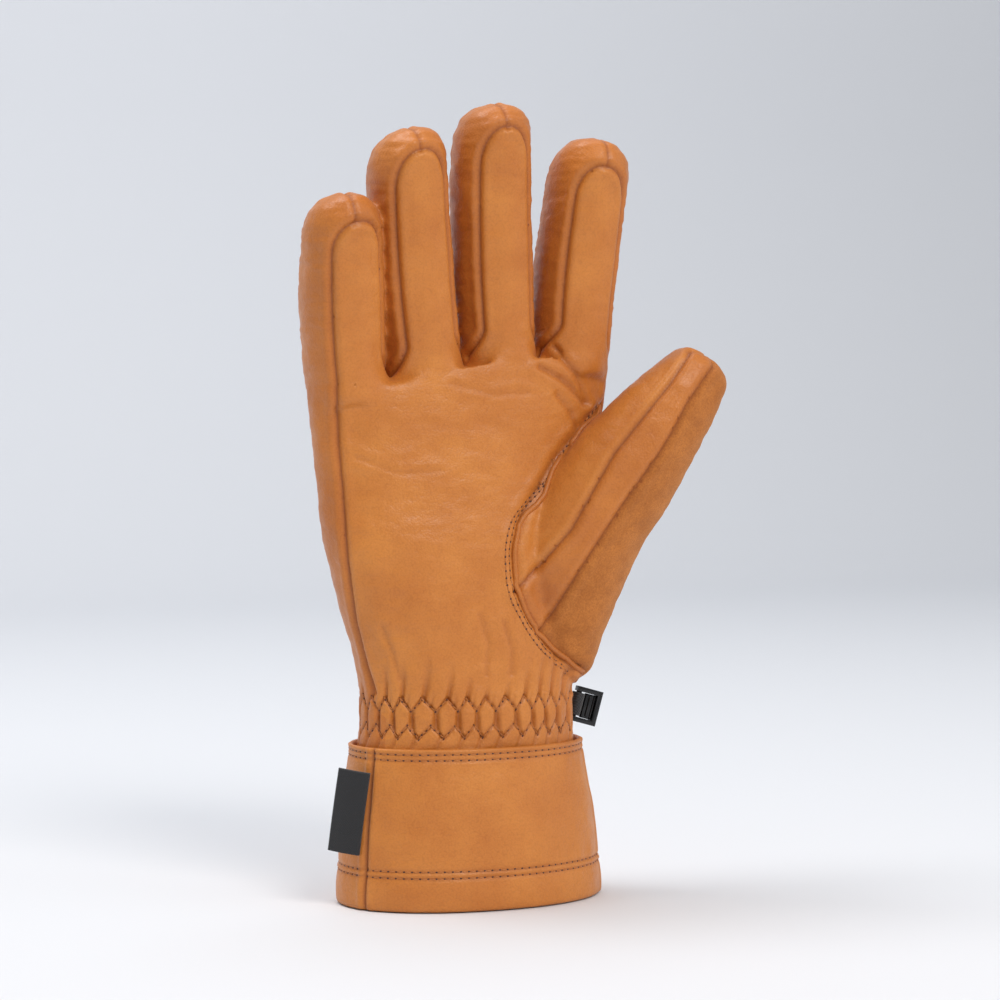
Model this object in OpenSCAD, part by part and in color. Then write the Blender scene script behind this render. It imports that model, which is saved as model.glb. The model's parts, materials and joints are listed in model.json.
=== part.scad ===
// Insulated leather ski glove, right hand.
// Frame: +Z runs from the cuff mouth to the fingertips, the palm faces -Y,
// the thumb is on the +X side. The origin is the centre of the cuff mouth.
// Angles called psi run round a section from the palm side (0) towards +X (90).

/* [Cuff] */
// Height of the cuff from its hem to its top edge
cuff_h = 54; // [44:1:66]
// Half width of the cuff at the hem
cuff_half_w = 47; // [43:0.5:54]
// Half depth of the cuff at the hem
cuff_half_d = 31; // [28:0.5:36]
// Half width of the cuff at its top edge
cuff_top_half_w = 41.5; // [40:0.5:48]
// Half depth of the cuff at its top edge
cuff_top_half_d = 27.5; // [27:0.5:34]
// Depth of the turned hem inside the cuff
hem_h = 13; // [8:0.5:20]

/* [Wrist] */
// Half width at the gathered wrist
wrist_half_w = 36.5; // [34:0.5:38]
// Half depth at the gathered wrist
wrist_half_d = 23.5; // [21:0.5:25]
// Height of the narrowest point above the cuff's top edge
wrist_rise = 11; // [8:0.5:16]
// How far the wrist leather reaches down inside the cuff
wrist_tuck = 5; // [3:0.5:8]
// Height of each elastic tape
elastic_h = 6; // [4:0.5:8]
// Thickness of each elastic tape
elastic_t = 1; // [0.6:0.1:1.2]
// Distance between the two elastic tapes, middle to middle
elastic_pitch = 10; // [8:0.5:14]

/* [Hand] */
// Height of the middle finger's knuckle line above the hem
knuckle_z = 188; // [180:1:200]
// Width of one finger across the knuckle line
finger_pitch = 27.4; // [26:0.2:30]
// Half depth of the hand at the knuckle line
knuckle_half_d = 15.5; // [15:0.5:18]
// Half depth of the hand over the ball of the thumb
palm_half_d = 23; // [20:0.5:26]

/* [Fingers] */
// Length of the little finger above its knuckle line
little_l = 63.5; // [50:0.5:76]
// Length of the ring finger above its knuckle line
ring_l = 80.5; // [64:0.5:94]
// Length of the middle finger above its knuckle line
middle_l = 84.5; // [68:0.5:100]
// Length of the index finger above its knuckle line
index_l = 74; // [60:0.5:88]
// Half depth of a finger
finger_half_d = 14.5; // [13:0.25:15]
// How far the fingertips lean towards the palm
finger_curl = 15; // [6:1:22]
// Clearance between neighbouring fingers at the knuckle line
finger_gap = 1.8; // [1.4:0.1:3]
// Half angle of the palm leather on each finger
palm_psi = 42; // [34:1:50]
// Angle at which the side strips meet the back of each finger
back_psi = 128; // [115:1:140]

/* [Thumb] */
// Length of the thumb beyond its root
thumb_l = 47; // [38:1:56]
// Half width of the thumb at its root
thumb_half_w = 19.5; // [17:0.5:20.5]
// Half depth of the thumb at its root
thumb_half_d = 18; // [16:0.5:19]
// Half width of the thumb's squared tip
thumb_tip_half_w = 8; // [6:0.5:9.5]

/* [Layers] */
// Thickness of the outer leather
leather_t = 1.1; // [0.8:0.1:1.4]
// Thickness of the insulation
batting_t = 1.8; // [1.2:0.1:2.4]
// Thickness of the brushed lining
lining_t = 0.8; // [0.6:0.1:1.2]
// Clearance between one layer and the next
layer_gap = 0.3; // [0.2:0.05:0.5]
// Clearance between two panels at a seam
seam_gap = 0.2; // [0.1:0.05:0.4]
// Clearance between the hand and a moving finger or thumb
joint_gap = 0.5; // [0.4:0.1:0.9]

/* [Trim] */
// Width of the folded label
label_w = 10.5; // [7:0.5:14]
// Height of the folded label
label_h = 28; // [18:1:34]
// Thickness of the folded label
label_t = 1.2; // [0.8:0.1:2]
// Reach of the moulded clip outwards from its hinge pin
clip_w = 8.4; // [7:0.2:11]
// Height of the moulded clip
clip_h = 12.4; // [10:0.2:16]
// Thickness of the moulded clip
clip_t = 3.6; // [3:0.1:5]
// Diameter of the clip's hinge pin
pin_d = 2; // [1.6:0.1:2.4]
// Radial clearance of the tab's loop round the pin
pin_clear = 0.25; // [0.2:0.05:0.4]
// Thickness of the webbing tab
tab_t = 1; // [0.8:0.1:1.4]

/* [Hidden] */
FINGERS = ["little", "ring", "middle", "index"];

TAN = [0.79, 0.53, 0.29];
SUEDE = [0.62, 0.40, 0.22];
PADDING = [0.93, 0.92, 0.88];
FLEECE = [0.20, 0.20, 0.22];
BLACK = [0.06, 0.06, 0.07];

// Depths of the layers below the outer surface.
batting_d = leather_t + layer_gap;
lining_d = batting_d + batting_t + layer_gap;
wall = lining_d + lining_t;
tip_r = 0.8;
least_r = 0.25;

// ---- Sections -------------------------------------------------------------
// A section is [centre, direction, half width, half depth, exponent,
//               share of an inset taken along the direction, knuckle share].
UP = [0, 0, 1];

function unit(v) = v / norm(v);
function flat_power(x, n) = sign(x) * pow(abs(x), 2 / n);
function palm_way(t) = unit([0, -1, 0] + t[1] * t);
function knuckle_drop(x) = lookup(x, [for (k = KNUCKLES) [k[0], k[1] - knuckle_z]]);

function at(s, psi, d) =
    let (
        v = palm_way(s[1]),
        u = cross(s[1], v),
        a = max(s[2] - d, least_r),
        b = max(s[3] - d, least_r),
        p = s[0] - s[1] * d * s[5]
            + u * a * flat_power(sin(psi), s[4])
            + v * b * flat_power(cos(psi), s[4])
    ) [p[0], p[1], p[2] + s[6] * knuckle_drop(p[0])];

function spread(a0, a1, n) = [for (i = [0 : n]) a0 + (a1 - a0) * i / n];
function mean(v) = v * [for (x = v) 1] / len(v);
function middle_of(ps) = [for (k = [0 : 2]) mean([for (p = ps) p[k]])];

// The points of one ring at depth d.
function ring_at(s, psis, d) = [for (a = psis) at(s, a, d)];

// A sewn panel: the part of a wall between two angles, closed at its edges.
// psis[i] are the angles of row i, and d0 and d1 are the wall's two faces.
module panel(rows, psis, d0, d1) {
    n = len(rows) - 1;
    m = len(psis[0]) - 1;
    w = m + 1;
    q = (n + 1) * w;
    outer = [for (i = [0 : n]) for (a = psis[i]) at(rows[i], a, d0)];
    inner = [for (i = [0 : n]) for (a = psis[i]) at(rows[i], a, d1)];
    faces = concat(
        [for (i = [0 : n - 1]) for (j = [0 : m - 1])
            let (a = i * w + j, b = a + 1, d = a + w, c = d + 1)
            each [[a, d, c], [a, c, b], [q + a, q + c, q + d], [q + a, q + b, q + c]]],
        [for (j = [0 : m - 1]) let (a = j, b = j + 1)
            each [[a, b, q + b], [a, q + b, q + a]]],
        [for (j = [0 : m - 1]) let (d = n * w + j, c = d + 1)
            each [[c, d, q + d], [c, q + d, q + c]]],
        [for (i = [0 : n - 1]) let (a = i * w, d = a + w)
            each [[d, a, q + a], [d, q + a, q + d]]],
        [for (i = [0 : n - 1]) let (b = i * w + m, c = b + w)
            each [[b, c, q + c], [b, q + c, q + b]]]
    );
    polyhedron(concat(outer, inner), faces);
}

// A wall that runs right round, open at both ends.
module sleeve(rows, psis, d0, d1) {
    n = len(rows) - 1;
    w = len(psis);
    q = (n + 1) * w;
    outer = [for (s = rows) for (a = psis) at(s, a, d0)];
    inner = [for (s = rows) for (a = psis) at(s, a, d1)];
    faces = concat(
        [for (i = [0 : n - 1]) for (j = [0 : w - 1])
            let (k = (j + 1) % w, a = i * w + j, b = i * w + k, d = a + w, c = b + w)
            each [[a, d, c], [a, c, b], [q + a, q + c, q + d], [q + a, q + b, q + c]]],
        [for (j = [0 : w - 1]) let (a = j, b = (j + 1) % w)
            each [[a, b, q + b], [a, q + b, q + a]]],
        [for (j = [0 : w - 1]) let (d = n * w + j, c = n * w + (j + 1) % w)
            each [[c, d, q + d], [c, q + d, q + c]]]
    );
    polyhedron(concat(outer, inner), faces);
}

// The whole space inside a surface, closed at both ends.
module filled(rows, psis, d) {
    n = len(rows) - 1;
    w = len(psis);
    skin = [for (s = rows) for (a = psis) at(s, a, d)];
    low = middle_of(ring_at(rows[0], psis, d));
    high = middle_of(ring_at(rows[n], psis, d));
    q = (n + 1) * w;
    faces = concat(
        [for (i = [0 : n - 1]) for (j = [0 : w - 1])
            let (k = (j + 1) % w, a = i * w + j, b = i * w + k, d = a + w, c = b + w)
            each [[a, d, c], [a, c, b]]],
        [for (j = [0 : w - 1]) [j, (j + 1) % w, q]],
        [for (j = [0 : w - 1]) [n * w + (j + 1) % w, n * w + j, q + 1]]
    );
    polyhedron(concat(skin, [low, high]), faces);
}

// ---- Hand -----------------------------------------------------------------
// Knuckle line: the points between the fingers, [x, z].
knuckle_x0 = -58.4;
knuckle_fall = [15, 10.5, 3.5, 0, 4.5];
KNUCKLES = [for (i = [0 : 4])
    [knuckle_x0 + i * finger_pitch, knuckle_z - knuckle_fall[i]]];
hand_left = KNUCKLES[0][0];
hand_right = KNUCKLES[4][0];
// The thumb moves out with the hand's radial edge and in with the wrist.
design_right = 51.2;
widen = hand_right - design_right;

wrist_z = cuff_h + wrist_rise;
reach = knuckle_z - wrist_z;
function hand_section(left, right, z, cy, b, n, share) =
    [[(left + right) / 2, cy, z], UP, (right - left) / 2, b, n, 0, share];
HAND = [
    hand_section(-wrist_half_w - 2, wrist_half_w + 2, cuff_h - wrist_tuck, 0,
        wrist_half_d + 1, 2.2, 0),
    hand_section(-wrist_half_w, wrist_half_w + 1, wrist_z, 0, wrist_half_d, 2.2, 0),
    hand_section(-wrist_half_w - 4, wrist_half_w + 2, wrist_z + reach * 0.16, 0,
        (wrist_half_d + palm_half_d) / 2, 2.2, 0),
    hand_section(hand_left * 0.79, 40 + widen * 0.3, wrist_z + reach * 0.29, 0,
        palm_half_d, 2.2, 0.05),
    hand_section(hand_left * 0.88, 40.5 + widen * 0.5, wrist_z + reach * 0.45, 0,
        palm_half_d * 0.96, 2.3, 0.15),
    hand_section(hand_left * 0.94, 42 + widen * 0.7, wrist_z + reach * 0.62, 0,
        (palm_half_d + knuckle_half_d) / 2, 2.4, 0.35),
    hand_section(hand_left * 0.975, hand_right - 4, wrist_z + reach * 0.8, 0,
        knuckle_half_d + 1.5, 2.6, 0.65),
    hand_section(hand_left, hand_right, knuckle_z - joint_gap, 0, knuckle_half_d, 2.8, 1)
];
side_psi = -62;
thumb_side_psi = 76;
back_cols = 16;
palm_cols = 14;
HAND_PSI = concat(spread(side_psi, thumb_side_psi, palm_cols),
    [for (i = [1 : back_cols - 1])
        thumb_side_psi + (360 + side_psi - thumb_side_psi) * i / back_cols]);
function in_turn(psis, rows) = [for (r = rows) psis];
seam_psi = seam_gap;

// The hand's upper layers stop short of the leather, under the crotch folds.
inset_top = 3.4;
function between(s0, s1, f) = [s0[0] + (s1[0] - s0[0]) * f, s1[1],
    for (k = [2 : 6]) s0[k] + (s1[k] - s0[k]) * f];
function lowered(rows, drop) =
    let (n = len(rows) - 1, rise = rows[n][0][2] - rows[n - 1][0][2])
    [for (i = [0 : n]) i < n ? rows[i] : between(rows[n - 1], rows[n], 1 - drop / rise)];

// ---- Thumb ----------------------------------------------------------------
// Sections of the ball of the thumb, from inside the wrist to the thumb's root.
root_c = [hand_right - 0.7, -19, knuckle_z - 40];
root_way = unit([26.5, -11, 37.5]);
function thumb_section(c, tilt, a, b) = [c, unit([sin(tilt), -sin(tilt) * 0.4, cos(tilt)]),
    a, b, 2, 0, 0];
BALL = [
    thumb_section([wrist_half_w - 7.5, -3, wrist_z + 3], 0, 1.5, 1.5),
    thumb_section([wrist_half_w - 2.5, -5, wrist_z + 12], 0, 8.5, 10),
    thumb_section([33 + widen * 0.2, -6, wrist_z + 24], 2, 14.5, 15),
    thumb_section([32.5 + widen * 0.3, -8, wrist_z + 38], 6, 19, 18),
    thumb_section([34.5 + widen * 0.6, -11.5, wrist_z + 54], 15, 20.5, 18.8),
    thumb_section([hand_right - 9.7, -15, root_c[2] - 14], 26,
        thumb_half_w + 0.9, thumb_half_d + 0.4),
    [root_c - root_way * joint_gap / 2, root_way, thumb_half_w, thumb_half_d, 2, 0, 0]
];
function free_section(f, a, b, n = 2) = [root_c + root_way * (joint_gap / 2 + thumb_l * f),
    root_way, a, b, n, f, 0];
THUMB = [
    free_section(0, thumb_half_w, thumb_half_d),
    free_section(0.22, thumb_half_w * 0.93, thumb_half_d * 0.95),
    free_section(0.45, thumb_half_w * 0.82, thumb_half_d * 0.86, 2.1),
    free_section(0.68, thumb_half_w * 0.66, thumb_half_d * 0.74, 2.3),
    free_section(0.86, (thumb_half_w * 0.5 + thumb_tip_half_w) / 2 + 0.7,
        thumb_half_d * 0.6, 2.5),
    free_section(0.96, thumb_tip_half_w, thumb_half_d * 0.45, 2.6),
    free_section(1, tip_r, tip_r)
];
strip_psi = [-35, 1];
rear_psi = 192;
leather_cols = 6;
THUMB_INNER_PSI = spread(rear_psi - 360 + seam_psi, strip_psi[0] - seam_psi, leather_cols);
THUMB_STRIP_PSI = spread(strip_psi[0] + seam_psi, strip_psi[1] - seam_psi, 2);
THUMB_SUEDE_PSI = spread(strip_psi[1] + seam_psi, rear_psi - seam_psi, 9);
THUMB_PSI = concat(
    spread(rear_psi - 360, strip_psi[0], leather_cols),
    [(strip_psi[0] + strip_psi[1]) / 2],
    [for (i = [0 : 8]) strip_psi[1] + (rear_psi - strip_psi[1]) * i / 9]);

// One mesh of a shape that several lofted solids make together.
module one_mesh() resize([0, 0, 0]) children();

module hand_solid(d) filled(HAND, HAND_PSI, d);
module ball_solid(d) filled(BALL, THUMB_PSI, d);

// A layer that lines the hand and the ball of the thumb together.
module hand_layer(d0, d1) {
    rows = lowered(HAND, inset_top);
    difference() {
        sleeve(rows, HAND_PSI, d0, d1);
        ball_solid(d1);
    }
    difference() {
        sleeve(BALL, THUMB_PSI, d0, d1);
        hand_solid(d1);
    }
}

// The space on the palm side (-1) or the back (1) of the plane between them.
split_y = 2;
module half_space(side) {
    big = 2 * knuckle_z;
    translate([-big / 2, side > 0 ? split_y + seam_gap / 2 : split_y - seam_gap / 2 - big,
        wrist_z + elastic_pitch + elastic_h / 2])
        cube(big);
}

module palm_panel() {
    color(TAN) one_mesh() difference() {
        panel(HAND, in_turn(spread(side_psi + seam_psi, thumb_side_psi - seam_psi, palm_cols),
            HAND), 0, leather_t);
        ball_solid(leather_t);
    }
}

module back_panel() {
    color(TAN) one_mesh() difference() {
        panel(HAND, in_turn(spread(thumb_side_psi + seam_psi, 360 + side_psi - seam_psi,
            back_cols), HAND), 0, leather_t);
        ball_solid(leather_t);
    }
}

module thumb_base(psis) {
    one_mesh() difference() {
        panel(BALL, in_turn(psis, BALL), 0, leather_t);
        hand_solid(-seam_gap / 2);
    }
}

module thumb_base_leather() {
    color(TAN) thumb_base(concat(
        spread(rear_psi - 360 + seam_psi, strip_psi[0], leather_cols),
        [(strip_psi[0] + strip_psi[1]) / 2, strip_psi[1] - seam_psi]));
}

module thumb_base_suede() {
    color(SUEDE) thumb_base(THUMB_SUEDE_PSI);
}

// The raised cord of leather sewn into the seam round the ball of the thumb.
welt_w = 1.6;
welt_h = 1.3;
welt_end_y = 6;
module gusset_welt() {
    color(TAN) one_mesh() difference() {
        intersection() {
            ball_solid(-welt_w);
            hand_solid(-welt_h);
        }
        ball_solid(-seam_gap / 2);
        hand_solid(-seam_gap / 2);
        translate([0, welt_end_y, 0]) cube(2 * knuckle_z);
    }
}

module batting_half(side) {
    color(PADDING) one_mesh() intersection() {
        hand_layer(batting_d, batting_d + batting_t);
        half_space(side);
    }
}
module palm_batting() batting_half(-1);
module back_batting() batting_half(1);

module hand_lining() {
    color(FLEECE) one_mesh() hand_layer(lining_d, wall);
}

// Folded ends of the side strips in the three gaps between the fingers.
fold_half_y = knuckle_half_d - leather_t - 2;
fold_waist = 2.4;
fold_end = 5;
fold_drop = 1.1;
module finger_crotches() {
    color(TAN) for (i = [1 : 3])
        translate([KNUCKLES[i][0], 0, KNUCKLES[i][1] - joint_gap - leather_t - fold_drop])
            rotate([0, -(tilt_of(i - 1) + tilt_of(i)) / 2, 0])
            linear_extrude(leather_t)
                polygon([[-fold_waist, 0], [-fold_end, -fold_half_y], [fold_end, -fold_half_y],
                    [fold_waist, 0], [fold_end, fold_half_y], [-fold_end, fold_half_y]]);
}

// Elastic tapes sewn behind the wrist leather.
function wrist_row(z) =
    let (f = (z - HAND[0][0][2]) / (HAND[1][0][2] - HAND[0][0][2]))
    f < 1
        ? hand_section(-wrist_half_w - 2 * (1 - f), wrist_half_w + 1 + (1 - f), z, 0,
            wrist_half_d + 1 - f, 2.2, 0)
        : let (g = (z - HAND[1][0][2]) / (HAND[2][0][2] - HAND[1][0][2]))
            hand_section(-wrist_half_w - 4 * g, wrist_half_w + 1 + g, z, 0,
                wrist_half_d + g * (palm_half_d - wrist_half_d) / 2, 2.2, 0);
module tape(z) {
    rows = [wrist_row(z - elastic_h / 2), wrist_row(z), wrist_row(z + elastic_h / 2)];
    color(BLACK) sleeve(rows, HAND_PSI, batting_d, batting_d + elastic_t);
}
module elastic_lower() tape(wrist_z - elastic_pitch / 2 - 0.5);
module elastic_upper() tape(wrist_z + elastic_pitch / 2 - 0.5);

// ---- Cuff -----------------------------------------------------------------
function cuff_row(z) =
    let (f = z / cuff_h, e = f * f * (3 - 2 * f))
    [[0, 0, z], UP, cuff_half_w + (cuff_top_half_w - cuff_half_w) * e,
        cuff_half_d + (cuff_top_half_d - cuff_half_d) * e, 2.1, 0, 0];
CUFF = [for (i = [0 : 4]) cuff_row(cuff_h * i / 4)];
cuff_seam_psi = [-66, 74];
CUFF_PALM_PSI = spread(cuff_seam_psi[0] + seam_psi, cuff_seam_psi[1] - seam_psi, 14);
CUFF_BACK_PSI = spread(cuff_seam_psi[1] + seam_psi, 360 + cuff_seam_psi[0] - seam_psi, 18);
CUFF_PSI = concat(spread(cuff_seam_psi[0], cuff_seam_psi[1], 14),
    [for (i = [1 : 17]) cuff_seam_psi[1]
        + (360 + cuff_seam_psi[0] - cuff_seam_psi[1]) * i / 18]);

module cuff_palm() {
    color(TAN) panel(CUFF, in_turn(CUFF_PALM_PSI, CUFF), 0, leather_t);
}
module cuff_back() {
    color(TAN) panel(CUFF, in_turn(CUFF_BACK_PSI, CUFF), 0, leather_t);
}
hem_d = leather_t + layer_gap;
module cuff_hem() {
    rows = [cuff_row(0), cuff_row(hem_h)];
    color(TAN) sleeve(rows, CUFF_PSI, hem_d, hem_d + leather_t);
}
// The cuff's insulation and lining run between the hem and the wrist's end.
cuff_fill_top = cuff_h - wrist_tuck - layer_gap;
module cuff_batting() {
    from = hem_h + layer_gap;
    rows = [for (i = [0 : 2]) cuff_row(from + (cuff_fill_top - from) * i / 2)];
    color(PADDING) sleeve(rows, CUFF_PSI, batting_d, batting_d + batting_t);
}
module cuff_lining() {
    rows = [for (i = [0 : 3]) cuff_row(layer_gap + (cuff_fill_top - layer_gap) * i / 3)];
    color(FLEECE) sleeve(rows, CUFF_PSI, lining_d, wall);
}

// A woven label folded into the cuff's ulnar seam, standing a little off it.
label_turn = 143;
label_z = 18;
module side_label() {
    seam = at(cuff_row(label_z), cuff_seam_psi[0], -layer_gap - label_t);
    color(BLACK) translate(seam) rotate(label_turn)
        translate([0, -label_t, 0]) cube([label_w, label_t, label_h]);
}

// ---- Clip -----------------------------------------------------------------
// The clip hangs by its pin in a webbing loop at the thumb side of the wrist.
// Its own frame: z along the pin, x outwards, the window opens along y.
loop_r = pin_d / 2 + pin_clear;
clip_stand = 1.5;
clip_at = [wrist_half_w + 1 + clip_stand + loop_r + tab_t, 2, wrist_z - 0.5];
clip_lean = 16;
rail = 1.7;
tongue_t = 1.2;
rib = 0.7;
window_from = loop_r + tab_t + joint_gap;
tongue_w = clip_w - rail - window_from - 2 * layer_gap;
tongue_l = clip_h - 2 * rail - 2 * layer_gap;
tab_h = clip_h - 2 * rail - 2 * joint_gap;
tab_leg = 9;
tab_turn = -14;
tab_ease = 0.15;
module clip_place() translate(clip_at) rotate([0, clip_lean, 0]) children();
module clip_frame() {
    color(BLACK) clip_place() {
        difference() {
            translate([-pin_d / 2, -clip_t / 2, -clip_h / 2])
                cube([clip_w + pin_d / 2, clip_t, clip_h]);
            translate([-pin_d, -clip_t, rail - clip_h / 2])
                cube([clip_w - rail + pin_d, 2 * clip_t, clip_h - 2 * rail]);
        }
        translate([0, 0, rail / 2 - clip_h / 2]) cylinder(d = pin_d, h = clip_h - rail, $fn = 48);
    }
}
module clip_tongue() {
    color(BLACK) clip_place()
        translate([window_from + layer_gap, -tongue_t / 2, -tongue_l / 2]) {
            cube([tongue_w, tongue_t, tongue_l]);
            translate([(tongue_w - rib) / 2, -rib, rib]) cube([rib, rib, tongue_l - 2 * rib]);
        }
}
module clip_tab() {
    leg_h = tab_h - 2 * tab_ease;
    color(BLACK) clip_place() {
        difference() {
            union() {
                translate([0, 0, -tab_h / 2]) cylinder(r = loop_r + tab_t, h = tab_h, $fn = 48);
                rotate([0, 0, tab_turn])
                    translate([-loop_r - tab_t + tab_ease, 0, -leg_h / 2])
                    cube([tab_t - 2 * tab_ease, tab_leg, leg_h]);
            }
            translate([0, 0, -tab_h]) cylinder(r = loop_r, h = 2 * tab_h, $fn = 48);
        }
    }
}

// ---- Fingers --------------------------------------------------------------
LENGTH = [little_l, ring_l, middle_l, index_l];
// Sideways lean of each fingertip in the finger's own frame.
LEAN = [4, 8.9, 3.3, -8.8];
function tilt_of(i) = atan2(KNUCKLES[i + 1][1] - KNUCKLES[i][1], finger_pitch);
function finger_half_w(i) =
    norm(KNUCKLES[i + 1] - KNUCKLES[i]) / 2 - finger_gap / 2;
// Shares of the length at which a finger's sections stand.
STEPS = [0, 0.14, 0.3, 0.45, 0.6, 0.72, 0.8, 0.87, 0.93, 0.975, 1];
tip_round = 2.3;
function bulge(f, i) =
    let (
        r = finger_half_d / LENGTH[i],
        g = max(0, (f - 1 + r) / r),
        slim = 1 - 0.05 * f
    ) slim * pow(max(0, 1 - pow(g, tip_round)), 1 / tip_round);
function finger_rows(i) = [for (f = STEPS)
    [[LEAN[i] * f, -finger_curl * f * f, LENGTH[i] * f], UP,
        max(tip_r, finger_half_w(i) * bulge(f, i)),
        max(tip_r, finger_half_d * bulge(f, i)), 2.1, f, 0]];
arch_from = 0.72;
arch_to = 0.87;
arch_end_psi = 5;
function arch_psi(f) =
    f <= arch_from ? palm_psi :
    f >= arch_to ? 0 :
    palm_psi * sqrt(1 - pow((f - arch_from) / (arch_to - arch_from), 2));
side_cols = 4;

module finger_place(i) {
    translate([(KNUCKLES[i][0] + KNUCKLES[i + 1][0]) / 2, 0,
        (KNUCKLES[i][1] + KNUCKLES[i + 1][1]) / 2])
        rotate([0, -tilt_of(i), 0]) children();
}
module finger_palm(i) {
    top = len([for (f = STEPS) if (f <= arch_to) f]) - 1;
    rows = [for (k = [0 : top]) finger_rows(i)[k]];
    psis = [for (k = [0 : top]) let (p = max(arch_end_psi, arch_psi(STEPS[k])) - seam_psi)
        spread(-p, p, side_cols)];
    color(TAN) finger_place(i) panel(rows, psis, 0, leather_t);
}
module finger_side(i, way) {
    rows = finger_rows(i);
    psis = [for (f = STEPS)
        let (p = (f < arch_to ? arch_psi(f) : f > arch_to ? 0 : arch_end_psi) + seam_psi)
        way > 0 ? spread(p, back_psi - seam_psi, side_cols)
                : spread(-back_psi + seam_psi, -p, side_cols)];
    color(TAN) finger_place(i) panel(rows, psis, 0, leather_t);
}
module finger_back(i) {
    rows = finger_rows(i);
    psis = in_turn(spread(back_psi + seam_psi, 360 - back_psi - seam_psi, side_cols + 1), rows);
    color(TAN) finger_place(i) panel(rows, psis, 0, leather_t);
}
// The angles right round a finger, whose columns meet those of its panels.
function round_psis(p) = concat(
    spread(-p, p, side_cols),
    [for (k = [1 : side_cols]) p + (back_psi - p) * k / side_cols],
    [for (k = [1 : side_cols]) back_psi + (360 - 2 * back_psi) * k / (side_cols + 1)],
    [for (k = [0 : side_cols - 1]) 360 - back_psi + (back_psi - p) * k / side_cols]);
// A liner inside a finger, closed at the tip.
module finger_liner(i, d0, d1) {
    rows = finger_rows(i);
    psis = [for (f = STEPS) round_psis(max(arch_end_psi, arch_psi(f)))];
    finger_place(i) stall(rows, psis, d0, d1);
}
// psis[i] are the angles of row i.
module stall(rows, psis, d0, d1) {
    n = len(rows) - 1;
    w = len(psis[0]);
    q = (n + 1) * w;
    outer = [for (i = [0 : n]) for (a = psis[i]) at(rows[i], a, d0)];
    inner = [for (i = [0 : n]) for (a = psis[i]) at(rows[i], a, d1)];
    ends = [for (d = [d0, d1]) middle_of(ring_at(rows[n], psis[n], d))];
    faces = concat(
        [for (i = [0 : n - 1]) for (j = [0 : w - 1])
            let (k = (j + 1) % w, a = i * w + j, b = i * w + k, d = a + w, c = b + w)
            each [[a, d, c], [a, c, b], [q + a, q + c, q + d], [q + a, q + b, q + c]]],
        [for (j = [0 : w - 1]) let (a = j, b = (j + 1) % w)
            each [[a, b, q + b], [a, q + b, q + a]]],
        [for (j = [0 : w - 1]) let (d = n * w + j, c = n * w + (j + 1) % w)
            each [[c, d, 2 * q], [q + d, q + c, 2 * q + 1]]]
    );
    polyhedron(concat(outer, inner, ends), faces);
}
module finger_batting(i) color(PADDING) finger_liner(i, batting_d, batting_d + batting_t);
module finger_lining(i) color(FLEECE) finger_liner(i, lining_d, wall);

// ---- Thumb pieces ---------------------------------------------------------
module thumb_panel(psis) {
    one_mesh() difference() {
        panel(THUMB, in_turn(psis, THUMB), 0, leather_t);
        hand_solid(-joint_gap);
    }
}
module thumb_inner() color(TAN) thumb_panel(THUMB_INNER_PSI);
module thumb_strip() color(TAN) thumb_panel(THUMB_STRIP_PSI);
module thumb_suede() color(SUEDE) thumb_panel(THUMB_SUEDE_PSI);
module thumb_liner(d0, d1) {
    one_mesh() difference() {
        stall(THUMB, in_turn(THUMB_PSI, THUMB), d0, d1);
        hand_solid(-joint_gap);
    }
}
module thumb_batting() color(PADDING) thumb_liner(batting_d, batting_d + batting_t);
module thumb_lining() color(FLEECE) thumb_liner(lining_d, wall);

// ---- Assembly -------------------------------------------------------------
palm_panel();
back_panel();
thumb_base_leather();
thumb_base_suede();
gusset_welt();
palm_batting();
back_batting();
hand_lining();
finger_crotches();
elastic_upper();
elastic_lower();
cuff_palm();
cuff_back();
cuff_hem();
cuff_batting();
cuff_lining();
side_label();
clip_tab();
clip_frame();
clip_tongue();
for (i = [0 : 3]) {
    finger_palm(i);
    finger_side(i, -1);
    finger_side(i, 1);
    finger_back(i);
    finger_batting(i);
    finger_lining(i);
}
thumb_inner();
thumb_strip();
thumb_suede();
thumb_batting();
thumb_lining();
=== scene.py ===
"""Looks of an insulated leather ski glove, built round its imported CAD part.

Sizes in this file are in millimetres until a mesh is written. +Z runs from the cuff
mouth to the fingertips, the palm faces -Y and the thumb is on the +X side. An angle psi
runs round a section from the palm (0) towards +X (90).
"""

import json
import math

import bmesh
import bpy
import numpy as np
from mathutils import Matrix, Vector, noise
from mathutils.bvhtree import BVHTree
from mathutils.kdtree import KDTree

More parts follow.
